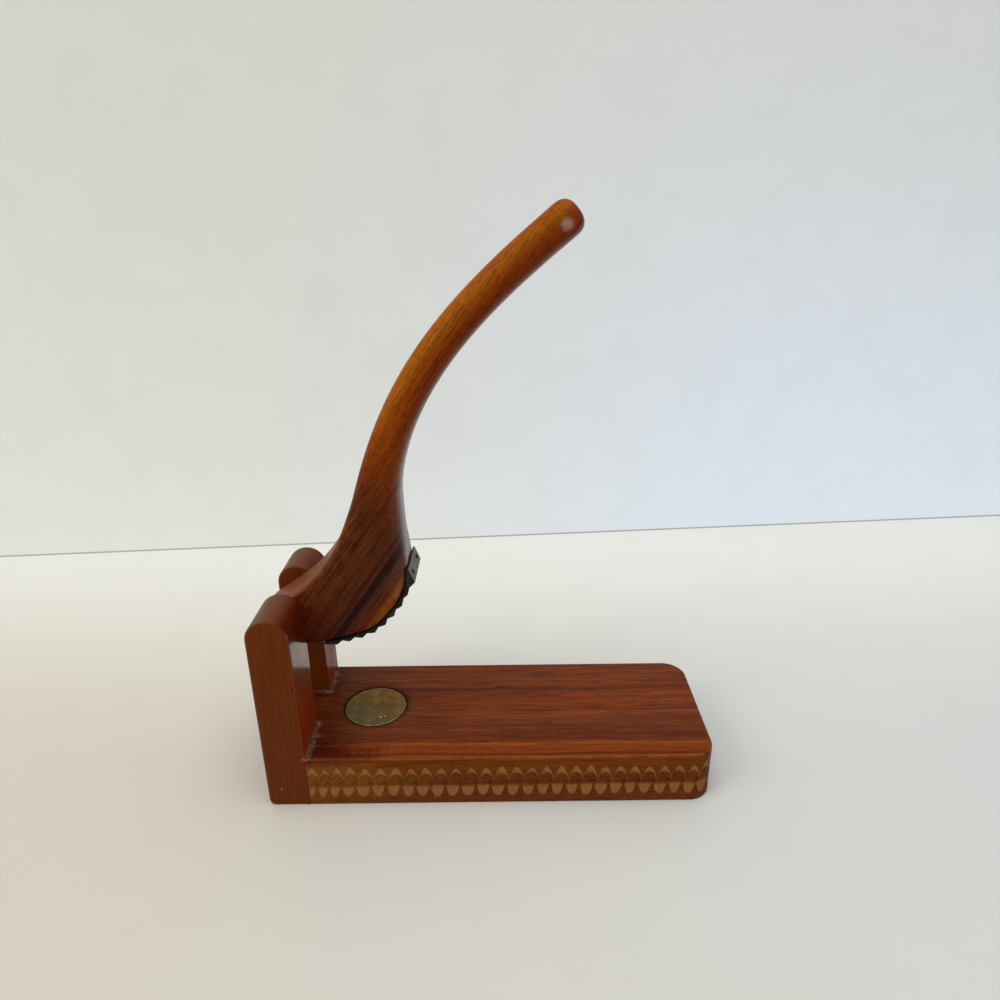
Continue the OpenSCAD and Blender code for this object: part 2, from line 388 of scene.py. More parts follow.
@dataclass(frozen=True)
class Mark:
    """A spot on the surface with a ragged outline, such as a knock, a fleck, a stain or a painted highlight."""

    at: Point
    size: Point
    tone: Tone
    strength: float

    def lay(self, bench: Bench, colour: object, place: object) -> bpy.types.NodeSocket:
        """Lays the spot over a colour.

        Args:
            bench: the material's bench.
            colour: what lies under the spot.
            place: the position in millimetres.

        Returns:
            The colour with the spot.
        """
        off = bench.add("VectorMath", {0: place, 1: self.at}, operation="SUBTRACT").outputs[0]
        off = bench.scaled(off, tuple(1 / size for size in self.size))
        far = bench.add("VectorMath", {0: off}, operation="LENGTH").outputs["Value"]
        ragged = bench.noise(place, 1.2 / min(self.size), 3.0, 0.6)
        far = bench.sum("ADD", far, bench.sum("SUBTRACT", ragged, 0.5))
        return bench.blend(bench.span(far, 0.2, 1.0, self.strength, 0.0), colour, linear(self.tone))


@dataclass(frozen=True)
class LacqueredWood:
    """A lacquered hardwood, coloured by its figure and by streaks across its width."""

    name: str
    way: Way
    ground: tuple[tuple[float, Tone], ...]
    streaks: tuple[Streak, ...] = ()
    across: Point = (0.0, 1.0, 0.0)
    across_from: float = 0.0
    band_size: float = 6.0
    wander: float = 3.0
    pore_share: float = 0.45
    pore_depth: float = 0.5
    fibre_depth: float = 0.42
    drifts: tuple[Drift, ...] = ()
    marks: tuple[Mark, ...] = ()
    roughness: float = 0.4
    specular: float = 0.05
    coat: float = 0.04
    coat_roughness: float = 0.16
    gloss: float = 0.9
    rub: float = 0.3
    rubbed: Tone = (138, 84, 48)
    # The carved faces' lighter tone: partly the bare wood under the lacquer, partly a painted highlight where facets
    # catch the light.
    cut: Tone = (162, 110, 68)
    # A pale painted sheen, the colour of a grazing reflection, and how strongly it is laid.
    painted_sheen: Tone = (108, 80, 62)
    painted_sheen_share: float = 0.6
    # Painted light: a brighter, warmer tone where light falls, partly the wood's own golden tone.
    warm_light_and_tone: Tone = (146, 54, 6)
    # Painted shade: a dark red laid where the wood is in shade.
    painted_shade: Tone = (62, 6, 3)
    dusty: bool = False

    def build(self) -> bpy.types.Material:
        """Returns the material."""
        material = bpy.data.materials.new(self.name)
        material.use_nodes = True
        material.node_tree.nodes.clear()
        bench = Bench(material.node_tree)
        here = bench.add("TexCoord").outputs["Object"]
        place = bench.scaled(here, (1 / MM, 1 / MM, 1 / MM))
        turn = bench.add("VectorRotate", {"Vector": place, "Angle": math.radians(self.way.value)}, rotation_type="Y_AXIS")
        grain = WOOD_FIGURE.place(bench, {
            "Vector": turn.outputs[0], "Band Size": self.band_size,
            "Wander": self.wander, "Pore Share": self.pore_share}).outputs
        use = HANDLING.place(bench, {"Vector": place}).outputs
        tone = bench.sum("ADD", bench.sum("MULTIPLY", grain["Bands"], 0.45), bench.sum("MULTIPLY", grain["Fibres"], 0.55))
        colour = bench.ramp(bench.span(tone, 0.34, 0.66), self.ground)
        for drift in self.drifts:
            far = bench.add("VectorMath", {0: place, 1: drift.toward}, operation="DOT_PRODUCT").outputs["Value"]
            far = bench.sum("ADD", far, bench.sum("MULTIPLY", grain["Drift"], (drift.end - drift.start) * 0.8))
            share = bench.span(far, drift.start, drift.end, 0.0, drift.strength)
            tinted = bench.blend(1.0, colour, linear(drift.tone), "SOFT_LIGHT")
            colour = bench.blend(share, colour, bench.blend(0.7, tinted, linear(drift.tone)))
        colour = self.streaked(bench, colour, place, grain)
        # Painted light and shade from the vertex paints, in turn: a pale painted sheen, a brighter painted light and a
        # dark red painted shade.
        for layer, tone, share in (("painted_sheen", self.painted_sheen, self.painted_sheen_share), ("warm_light_and_tone", self.warm_light_and_tone, 0.75), ("painted_shade", self.painted_shade, 0.8)):
            painted = bench.add("Attribute", attribute_name=layer).outputs["Fac"]
            uneven = bench.span(use["Smear"], 0.3, 0.7, share * 0.75, share)
            colour = bench.blend(bench.sum("MULTIPLY", painted, uneven, True), colour, linear(tone))
        fibre_dark = bench.span(grain["Fibres"], 0.38, 0.54, self.fibre_depth, 0.0)
        colour = bench.blend(fibre_dark, colour, linear((34, 10, 4)))
        colour = bench.blend(bench.sum("MULTIPLY", grain["Pores"], self.pore_depth), colour, linear((20, 7, 4)))
        for mark in self.marks:
            colour = mark.lay(bench, colour, place)
        edge = bench.add("Attribute", attribute_name="edge").outputs["Fac"]
        rub = EDGE_RUB.place(bench, {"Vector": place, "Edge": edge}).outputs["Rub"]
        colour = bench.blend(bench.sum("MULTIPLY", rub, self.rub), colour, linear(self.rubbed))
        # The carved faces take a lighter tone: partly bare wood, partly a painted highlight.
        cut = bench.add("Attribute", attribute_name="cut").outputs["Fac"]
        cut_tone = bench.blend(0.28, linear(self.cut), colour)
        colour = bench.blend(bench.sum("MULTIPLY", cut, 0.9), colour, cut_tone)
        # Painted shade: the dark line paint in the carving's stabbed grooves and hollows and down the disc's recess,
        # with dirt on the top beside the recess.
        line = bench.add("Attribute", attribute_name="line").outputs["Fac"]
        colour = bench.blend(bench.sum("MULTIPLY", line, 0.85, True), colour, linear((34, 12, 3)))
        rough = bench.span(use["Smear"], 0.3, 0.7, self.roughness - 0.07, self.roughness + 0.09)
        rough = bench.sum("ADD", rough, bench.sum("MULTIPLY", cut, 0.28))
        gloss = bench.add("Attribute", attribute_name="gloss").outputs["Fac"]
        coat = bench.sum("ADD", self.coat, bench.sum("MULTIPLY", gloss, self.gloss), True)
        coat = bench.sum("MULTIPLY", coat, bench.sum("SUBTRACT", 1.0, cut, True))
        height = grain["Height"]
        if self.dusty:
            dust = FOOT_DUST.place(bench, {"Vector": place}).outputs["Dust"]
            colour = bench.blend(bench.sum("MULTIPLY", dust, 0.62), colour, linear((158, 134, 110)))
            rough = bench.sum("ADD", rough, bench.sum("MULTIPLY", dust, 0.4), True)
            coat = bench.sum("MULTIPLY", coat, bench.sum("SUBTRACT", 1.0, dust, True))
            height = bench.sum("ADD", height, bench.sum("MULTIPLY", dust, 1.6))
        colour = bench.blend(bench.sum("MULTIPLY", use["Speck"], 0.3), colour, linear((180, 150, 120)))
        swell = bench.noise(bench.scaled(place, (0.05, 0.09, 0.09)), 1.0, 1.0)
        slow = bench.add("Bump", {"Strength": 0.25, "Distance": 0.6 * MM, "Height": swell})
        bump = bench.add("Bump", {"Strength": 0.3, "Distance": 0.12 * MM, "Height": height, "Normal": slow.outputs[0]})
        shader = bench.add("BsdfPrincipled", {
            "Base Color": colour, "Roughness": rough, "Normal": bump.outputs[0], "Coat Weight": coat,
            "Coat Roughness": self.coat_roughness, "IOR": 1.5, "Specular IOR Level": self.specular})
        bench.add("OutputMaterial", {"Surface": shader.outputs[0]})
        return material

    def streaked(self, bench: Bench, colour: object, place: object, grain: object) -> object:
        """Lays the streaks over the ground colour.

        Args:
            bench: the material's bench.
            colour: the ground colour.
            place: the position in millimetres.
            grain: the outputs of the wood's figure.

        Returns:
            The streaked colour.
        """
        if not self.streaks:
            return colour
        flat = bench.add("VectorMath", {0: place, 1: self.across}, operation="DOT_PRODUCT").outputs["Value"]
        led = bench.sum("ADD", bench.sum("SUBTRACT", flat, self.across_from), bench.sum("MULTIPLY", grain["Drift"], self.wander * 1.6))
        led = bench.sum("ADD", led, bench.sum("MULTIPLY", bench.sum("SUBTRACT", grain["Bands"], 0.5), 1.6))
        for streak in self.streaks:
            off = bench.sum("ABSOLUTE", bench.sum("SUBTRACT", led, streak.at))
            near = bench.span(off, streak.half * 0.35, streak.half, 1.0, 0.0)
            patch = bench.span(grain["Fibres"], 0.5 - streak.patchy, 0.5 + streak.patchy * 0.4, 1 - streak.patchy * 1.6, 1.0)
            colour = bench.blend(
                bench.sum("MULTIPLY", bench.sum("MULTIPLY", near, patch), streak.strength, True), colour, linear(streak.tone))
        return colour


@dataclass(frozen=True)
class WornMetal:
    """A metal with tarnish in patches, scuffs and small dents, with painted glints on its scuffs and rubbed edges and a
    painted reflection on a painted facet.
    """

    name: str
    bare: Tone
    tarnish: Tone
    tarnish_share: tuple[float, float]
    roughness: float
    metallic: float = 1.0
    glint: Tone = (220, 205, 170)
    glint_share: float = 0.3
    dent: float = 0.1
    drift: Drift | None = None
    # The pale tone of a painted reflection on a facet.
    bright: Tone = (120, 112, 96)
    marks: tuple[Mark, ...] = ()

    def build(self) -> bpy.types.Material:
        """Returns the material."""
        material = bpy.data.materials.new(self.name)
        material.use_nodes = True
        material.node_tree.nodes.clear()
        bench = Bench(material.node_tree)
        here = bench.add("TexCoord").outputs["Object"]
        place = bench.scaled(here, (1 / MM, 1 / MM, 1 / MM))
        use = HANDLING.place(bench, {"Vector": place, "Speck Share": 0.05}).outputs
        patches = bench.noise(place, 0.22, 5.0, 0.62)
        fine = bench.noise(place, 1.6, 3.0, 0.6)
        covered = bench.span(bench.sum("ADD", patches, bench.sum("MULTIPLY", fine, 0.16)), *self.tarnish_share)
        colour = bench.blend(covered, linear(self.bare), linear(self.tarnish))
        if self.drift:
            far = bench.add("VectorMath", {0: place, 1: self.drift.toward}, operation="DOT_PRODUCT").outputs["Value"]
            share = bench.span(far, self.drift.start, self.drift.end, 0.0, self.drift.strength)
            colour = bench.blend(share, colour, linear(self.drift.tone))
        for mark in self.marks:
            colour = mark.lay(bench, colour, place)
        # Painted reflection: the painted facet, the strip's flat end, takes a pale metal tone for the grazing
        # reflection on it.
        facet = bench.add("Attribute", attribute_name="facet").outputs["Fac"]
        facet_reflection = bench.blend(bench.span(fine, 0.42, 0.6), linear(self.bright), linear(self.bare))
        colour = bench.blend(facet, colour, facet_reflection)
        edge = bench.add("Attribute", attribute_name="edge").outputs["Fac"]
        rub = EDGE_RUB.place(bench, {"Vector": place, "Edge": edge, "Patch Size": 2.0}).outputs["Rub"]
        # Painted highlight: scuffs and rubbed edges take the pale glint tone.
        shine = bench.sum("MAXIMUM", bench.sum("MULTIPLY", use["Scuff"], self.glint_share), bench.sum("MULTIPLY", rub, 0.7))
        colour = bench.blend(shine, colour, linear(self.glint))
        rough = bench.span(covered, 0.0, 1.0, self.roughness, self.roughness + 0.2)
        rough = bench.sum("SUBTRACT", rough, bench.sum("MULTIPLY", shine, 0.15), True)
        height = bench.sum("ADD", bench.sum("MULTIPLY", patches, 1.0), bench.sum("MULTIPLY", fine, 0.35))
        bump = bench.add("Bump", {"Strength": 0.5, "Distance": self.dent * MM, "Height": height})
        metallic = bench.sum("SUBTRACT", self.metallic, bench.sum("MULTIPLY", facet, 0.6), True)
        shader = bench.add("BsdfPrincipled", {
            "Base Color": colour, "Roughness": rough, "Metallic": metallic, "Normal": bump.outputs[0]})
        bench.add("OutputMaterial", {"Surface": shader.outputs[0]})
        return material


@dataclass(frozen=True)
class StagePaint:
    """A matt paint for the floor or the wall, drifting along X from a warmer tone on the left to a cooler one on the
    right: a painted tint of the light.
    """

    name: str
    left: Tone
    right: Tone
    reach: float = 260.0
    # A painted light gradient: on the floor lighter toward the wall, on the wall darker toward the top, a painted
    # shade.
    painted_light_gradient: Drift | None = None
    one_sided: bool = False

    def build(self) -> bpy.types.Material:
        """Returns the material."""
        material = bpy.data.materials.new(self.name)
        material.use_nodes = True
        material.node_tree.nodes.clear()
        bench = Bench(material.node_tree)
        here = bench.add("TexCoord").outputs["Object"]
        place = bench.scaled(here, (1 / MM, 1 / MM, 1 / MM))
        along = bench.add("SeparateXYZ", {0: place}).outputs[0]
        # Painted light: the tone drifts from warmer on the left to cooler on the right, the tint of the light.
        colour = bench.blend(bench.span(along, -self.reach, self.reach), linear(self.left), linear(self.right))
        # Painted light and shade: the floor lighter toward the wall, the wall darker toward the top.
        if self.painted_light_gradient:
            far = bench.add("VectorMath", {0: place, 1: self.painted_light_gradient.toward}, operation="DOT_PRODUCT").outputs["Value"]
            share = bench.span(far, self.painted_light_gradient.start, self.painted_light_gradient.end, 0.0, self.painted_light_gradient.strength)
            colour = bench.blend(share, colour, linear(self.painted_light_gradient.tone))
        mottle = bench.noise(place, 0.02, 4.0, 0.6)
        colour = bench.blend(bench.span(mottle, 0.4, 0.7, 0.0, 0.05), colour, linear((176, 172, 160)))
        shader = bench.add("BsdfPrincipled", {"Base Color": colour, "Roughness": 0.6, "Specular IOR Level": 0.25})
        surface = shader.outputs[0]
        if self.one_sided:
            behind = bench.add("NewGeometry").outputs["Backfacing"]
            clear = bench.add("BsdfTransparent").outputs[0]
            surface = bench.add("MixShader", {0: behind, 1: surface, 2: clear}).outputs[0]
        bench.add("OutputMaterial", {"Surface": surface})
        return material


UP_GRAIN = (math.cos(math.radians(54.0)), 0.0, math.sin(math.radians(54.0)))

BOARD_WOOD = LacqueredWood(
    name="board_wood", way=Way.ALONG_BOARD,
    ground=((0.0, (86, 34, 10)), (0.35, (100, 43, 13)), (0.65, (109, 50, 17)), (1.0, (120, 58, 22))),
    streaks=(
        Streak(5.4, 7.0, (116, 56, 6), 0.8), Streak(11.9, 5.5, (122, 52, 3), 0.75),
        Streak(3.0, 1.4, (104, 54, 26), 0.6), Streak(9.0, 1.2, (72, 24, 4), 0.7),
        Streak(16.0, 1.1, (136, 68, 10), 0.7), Streak(21.9, 4.2, (76, 30, 10), 0.6),
        Streak(30.4, 5.0, (92, 42, 18), 0.4), Streak(48.4, 6.5, (116, 50, 14), 0.4),
        Streak(59.4, 3.0, (72, 30, 18), 0.6), Streak(72.4, 5.0, (92, 46, 24), 0.4)),
    drifts=(Drift((-1.0, 0.0, 0.0), 44.0, 88.0, (66, 20, 6), 0.55),),
    marks=(
        Mark((5.5, 17.0, 26.5), (7.0, 1.5, 3.0), (44, 20, 22), 0.6),
        Mark((-4.0, 20.0, 26.5), (11.0, 1.1, 3.0), (52, 24, 20), 0.4),
        Mark((26.0, 27.4, 26.5), (10.0, 1.6, 3.0), (58, 24, 20), 0.5),
        Mark((68.0, 33.5, 26.5), (12.0, 1.8, 3.0), (54, 26, 20), 0.5),
        Mark((47.0, 9.8, 26.5), (16.0, 3.2, 3.0), (134, 50, 18), 0.5),
        Mark((74.0, -11.0, 26.5), (34.0, 9.0, 3.0), (84, 42, 22), 0.5),
        Mark((-88.0, -34.0, 26.5), (48.0, 13.0, 5.0), (58, 4, 6), 0.85),
        Mark((-86.5, -38.0, 13.0), (72.0, 6.0, 16.0), (128, 80, 26), 0.6)),
    across=(0.0, 1.0, 0.12), across_from=-41.0, band_size=3.5, wander=2.4, pore_share=0.55,
    pore_depth=0.5, specular=0.04, coat=0.03, cut=(160, 112, 60), dusty=True)
CHEEK_WOOD = LacqueredWood(
    name="cheek_wood", way=Way.UPRIGHT,
    ground=((0.0, (92, 38, 6)), (0.5, (98, 43, 8)), (1.0, (104, 48, 12))),
    band_size=16.0, pore_share=0.25, pore_depth=0.14, fibre_depth=0.1, roughness=0.4, coat_roughness=0.12,
    marks=(
        Mark((-99.2, -38.0, 9.4), (0.38, 1.0, 0.38), (226, 214, 196), 0.9),
        Mark((-103.0, -38.0, 14.0), (0.35, 1.0, 8.0), (40, 18, 8), 0.6),
        Mark((-87.6, -38.0, 66.0), (0.7, 1.0, 1.0), (30, 10, 6), 0.9),
        Mark((-88.2, -38.0, 48.0), (0.6, 1.0, 0.9), (30, 10, 6), 0.8)),
    specular=0.05, coat=0.04, painted_sheen=(84, 64, 48), painted_sheen_share=0.75, warm_light_and_tone=(130, 36, 3), painted_shade=(70, 1, 1),
    rub=0.15, rubbed=(112, 74, 50), dusty=True)
LEVER_WOOD = LacqueredWood(
    name="lever_wood", way=Way.ACROSS_LEVER,
    ground=((0.0, (58, 20, 8)), (0.4, (78, 32, 10)), (0.7, (90, 40, 12)), (1.0, (106, 50, 14))),
    drifts=(
        Drift(UP_GRAIN, 72.0, 112.0, (152, 68, 2), 0.9),
        Drift((-UP_GRAIN[0], 0.0, -UP_GRAIN[2]), -40.0, -12.0, (104, 22, 16), 0.7)),
    streaks=(
        Streak(19.5, 7.0, (142, 76, 20), 0.9, 0.3), Streak(26.4, 1.4, (84, 30, 14), 0.7),
        Streak(29.6, 2.2, (76, 42, 32), 0.7), Streak(33.2, 2.9, (30, 16, 15), 0.95, 0.15),
        Streak(36.9, 1.6, (54, 26, 18), 0.75), Streak(41.0, 3.2, (84, 46, 24), 0.55),
        Streak(46.8, 3.2, (96, 44, 14), 0.5), Streak(50.2, 1.2, (56, 22, 12), 0.6),
        Streak(56.0, 4.0, (92, 44, 16), 0.35), Streak(62.0, 2.6, (96, 36, 6), 0.4),
        Streak(75.0, 4.5, (160, 88, 18), 0.7)),
    across=(-UP_GRAIN[2], 0.0, UP_GRAIN[0]), across_from=86.5 * UP_GRAIN[2],
    # A pale spot on the tip's rounded end: a painted highlight.
    marks=(Mark((34.0, -7.0, 258.0), (3.6, 4.0, 3.6), (170, 140, 128), 0.6),),
    band_size=2.6, wander=1.2, pore_share=0.6, pore_depth=0.6, rub=0.2, gloss=0.6,
    specular=0.03, coat=0.03, painted_sheen=(134, 84, 54), painted_sheen_share=0.5, warm_light_and_tone=(150, 82, 4), painted_shade=(114, 36, 4))
DOWEL_WOOD = LacqueredWood(
    name="dowel_wood", way=Way.ALONG_BOARD,
    ground=((0.0, (170, 130, 88)), (1.0, (206, 170, 122))), coat=0.0, roughness=0.6)
DISC_BRASS = WornMetal(
    "anvil_brass", (126, 92, 36), (106, 80, 36), (0.35, 0.75), 0.42, glint=(170, 150, 98), glint_share=0.2,
    dent=0.12, drift=Drift((-0.5, -0.85, 0.0), 20.0, 40.0, (104, 96, 70), 0.6),
    marks=(
        # The pale marks are painted glints, painted highlights; the dark ones are dark specks in the face.
        Mark((-55.8, -7.0, 26.4), (0.9, 0.5, 2.0), (250, 236, 190), 0.9), Mark((-53.9, -6.2, 26.4), (0.7, 0.5, 2.0), (250, 236, 190), 0.8),
        Mark((-57.2, -8.2, 26.4), (0.6, 0.4, 2.0), (60, 50, 24), 0.7), Mark((-54.2, -8.0, 26.4), (1.0, 0.5, 2.0), (64, 52, 26), 0.6)))
STRIP_IRON = WornMetal(
    "strip_iron", (52, 52, 42), (26, 27, 20), (0.36, 0.6), 0.5, metallic=0.7, glint=(110, 106, 92),
    glint_share=0.12, dent=0.14)
PIN_STEEL = WornMetal("pin_steel", (190, 190, 192), (140, 138, 134), (0.5, 0.75), 0.25)
BRAD_STEEL = WornMetal(
    "brad_steel", (30, 28, 25), (16, 15, 13), (0.4, 0.6), 0.5, metallic=0.6, glint=(60, 56, 50), glint_share=0.1)
# Floor and wall tones carry painted light: warmer on the left and cooler on the right, the floor lighter toward the
# wall and the wall darker toward the top.
FLOOR_PAINT = StagePaint(
    "floor_paint", (191, 185, 172), (192, 192, 189), painted_light_gradient=Drift((0.0, 1.0, 0.0), -20.0, 260.0, (216, 215, 208), 0.9))
WALL_PAINT = StagePaint(
    "wall_paint", (233, 234, 229), (232, 240, 250), painted_light_gradient=Drift((0.0, 0.0, 1.0), 20.0, 520.0, (208, 208, 200), 0.85),
    one_sided=True)
# The seam strip's grey is painted shade where the floor meets the wall.
GAP_SHADE_PAINT = StagePaint("gap_shade_paint", (178, 178, 176), (176, 178, 182), one_sided=True)


# --- Meshes ---------------------------------------------------------------------


@dataclass
class Shape:
    """Vertices in millimetres, faces, and values painted on the vertices."""

    points: list = field(default_factory=list)
    faces: list = field(default_factory=list)
    paints: dict[str, np.ndarray] = field(default_factory=dict)

    def to_object(self, name: str, sharp: float = 32.0) -> bpy.types.Object:
        """Makes the mesh object.

        Args:
            name: the piece's name.
            sharp: the angle in degrees over which an edge is left sharp.

        Returns:
            The object, in the scene.
        """
        mesh = bpy.data.meshes.new(name)
        mesh.from_pydata((np.array(self.points, float) * MM).tolist(), [], self.faces)
        mesh.validate()
        for key, values in self.paints.items():
            layer = mesh.attributes.new(key, "FLOAT", "POINT")
            layer.data.foreach_set("value", np.asarray(values, np.float32))
        mesh.shade_smooth()
        mesh.set_sharp_from_angle(angle=math.radians(sharp))
        made = bpy.data.objects.new(name, mesh)
        bpy.context.scene.collection.objects.link(made)
        return made


def loft_faces(rings: int, per_ring: int, closed: bool = True) -> list[tuple[int, int, int, int]]:
    """Returns the quads between rings of points that follow each other.

    Args:
        rings: how many rings there are.
        per_ring: how many points a ring has.
        closed: whether each ring closes on itself.

    Returns:
        The faces, turned outward for rings that run anticlockwise as seen from the last ring.
    """
    last = per_ring if closed else per_ring - 1
    return [
        (i * per_ring + j, i * per_ring + (j + 1) % per_ring, (i + 1) * per_ring + (j + 1) % per_ring, (i + 1) * per_ring + j)
        for i in range(rings - 1) for j in range(last)
    ]


@dataclass
class Piece:
    """What every sub-assembly has: a body to ride on and a way to be dressed."""

    body: Body

    def dress(self, made: bpy.types.Object, material: bpy.types.Material, slot: str, *nodes: str) -> bpy.types.Object:
        """Gives a piece its material, sets it on its body's empty and hides the CAD nodes that it stands for.

        Args:
            made: the piece.
            material: its finish.
            slot: the record's material slot; not used.
            *nodes: the CAD nodes that it stands for.

        Returns:
            The piece.
        """
        made.data.materials.clear()
        made.data.materials.append(material)
        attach(made, self.body.value)
        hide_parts(*nodes)
        LOG.info("%s: %d faces, rides on %s", made.name, len(made.data.polygons), self.body.value)
        return made


@dataclass
class CarvedBorder:
    """The band of gouged crescents over shields that runs round the board's sides."""

    pitch: float = 7.03
    first: float = 1.6
    top: float = 21.3
    cusp: float = 13.2
    arch: float = 16.9
    arch_foot: float = 12.5
    arch_share: float = 0.87
    shield_top: float = 10.6
    shield_foot: float = 4.1
    shield_lag: float = 1.9
    depth: float = 0.75
    seed: int = 7

    def centres(self, length: float) -> np.ndarray:
        """Returns where the crescents stand along the border, spaced by hand.

        Args:
            length: the border's whole run.

        Returns:
            The places along the run, in order, from one before the start to one past the end.
        """
        dice = np.random.default_rng(self.seed)
        index = np.arange(-1, int(length / self.pitch) + 3)
        start = self.first - 2.5 + 1.2 * np.clip(3 - index, 0, 3)
        bow = 1.15 * np.sin(np.pi * np.clip((index - 3) / 23, 0, 1)) ** 0.7
        return start + self.pitch * index + bow + dice.uniform(-0.3, 0.3, len(index))

    def relief(self, s: np.ndarray, z: np.ndarray, length: float) -> tuple[np.ndarray, np.ndarray, np.ndarray]:
        """Works out the carving at each point of the border.

        Args:
            s: places along the run.
            z: heights, of the same shape.
            length: the border's whole run.

        Returns:
            The depth of the carving, and from 0 to 1 how much a point takes the carved faces' lighter tone, partly bare
            wood and partly a painted highlight, and how much painted shade the stabbed grooves and hollows lay on it.
        """
        dice = np.random.default_rng(self.seed + 1)
        centres = self.centres(length)
        count = len(centres)
        tops = self.top + dice.uniform(-0.8, 0.6, count)
        arches = self.arch + dice.uniform(-0.4, 0.4, count)
        deeps = self.depth * dice.uniform(0.75, 1.15, count)
        s = s + 0.16 * wobble(s, z, 8.0, 1.0)
        z = z + 0.16 * wobble(s, z, 6.0, 2.0)
        i, u, half = self.unit(s, centres)
        outer = self.cusp + (tops[i] - self.cusp) * (1 - np.abs(u) ** 1.9)
        inner = self.arch_foot + (arches[i] - self.arch_foot) * np.sqrt(np.clip(1 - (u / self.arch_share) ** 2, 0, 1))
        crescent = (z < outer) & (z >= inner)
        share = np.clip((outer - z) / np.maximum(outer - inner, 0.3), 0, 1)
        depth = np.where(crescent, deeps[i] * share, 0.0)
        # Carved faces take the lighter tone, partly bare wood and partly a painted highlight.
        cut = np.where(crescent, np.clip((outer - z) / 0.35, 0, 1), 0.0)
        within = (z < inner) & (np.abs(u) < self.arch_share)
        depth = np.where(within, deeps[i] * np.exp(-(inner - z) / 0.16) + 0.12 + 0.1 * wobble(s, z, 1.1, 3.0), depth)
        # Painted shade: dark line paint in the stabbed grooves, the hollows under the arches and the notches between
        # the units.
        line = np.exp(-(((z - inner) / 0.24) ** 2)) * (np.abs(u) < self.arch_share) * 0.9
        line = np.maximum(line, 0.16 * within)
        valley = np.clip(1 - (1 - np.abs(u)) * half / 0.35, 0, 1) * np.clip((outer + 0.8 - z) / 1.2, 0, 1) * (z > 12.0)
        line = np.maximum(line, 0.8 * valley)
        feet = self.shield_foot + dice.uniform(-0.5, 0.5, count)
        heads = self.shield_top + dice.uniform(-0.6, 0.5, count)
        widths = dice.uniform(0.70, 0.84, count)
        lags = self.shield_lag + dice.uniform(-0.4, 0.4, count)
        j, v, half_j = self.unit(s, centres - lags)
        v = v / (widths[j] * (1 + 0.12 * np.clip((z - 7) / 3.5, -1, 1)))
        foot = feet[j] + (heads[j] - feet[j]) * (1 - np.sqrt(np.clip(1 - np.abs(v) ** 2.2, 0, 1)))
        shield = (np.abs(v) < 1) & (z < heads[j] + 0.7) & (z > foot)
        rise = np.clip((z - foot) / 5.0, 0, 1) * np.clip((heads[j] + 0.7 - z) / 1.2, 0, 1)
        depth = np.where(shield, np.maximum(depth, deeps[j] * 0.9 * rise), depth)
        cut = np.maximum(cut, 0.92 * shield * np.clip((heads[j] + 0.7 - z) / 1.6, 0, 1) * np.clip((z - foot) / 0.4, 0, 1))
        rim = np.exp(-((((np.abs(v) - 1) * half_j * 0.8) / 0.28) ** 2)) * (z < heads[j]) * (z > feet[j] + 1.5)
        line = np.maximum(line, 0.4 * rim)
        fork = np.abs(np.abs(self.unit(s, centres - lags)[1]) - 1) * half_j
        tent = np.exp(-(((fork - 0.55 * np.clip(13.1 - z, 0, 3)) / 0.26) ** 2)) * (z < 13.1) * (z > 10.6)
        line = np.maximum(line, 0.85 * tent)
        depth = np.maximum(depth, 0.5 * tent)
        inside = (s > 0.2) & (s < length - 0.2)
        return np.maximum(depth, 0) * inside, cut * inside, np.clip(line, 0, 1) * inside

    def unit(self, s: np.ndarray, centres: np.ndarray) -> tuple[np.ndarray, np.ndarray, np.ndarray]:
        """Finds each place's unit.

        Args:
            s: places along the run.
            centres: the units' centres, in order.

        Returns:
            The unit's number, the place in it from -1 to 1 and half the unit's width.
        """
        edges = (centres[1:] + centres[:-1]) / 2
        i = np.clip(np.searchsorted(edges, s), 1, len(centres) - 2)
        left, right = edges[i - 1], edges[np.minimum(i, len(edges) - 1)]
        half = (right - left) / 2
        return i, np.clip((s - (left + right) / 2) / half, -1, 1), half


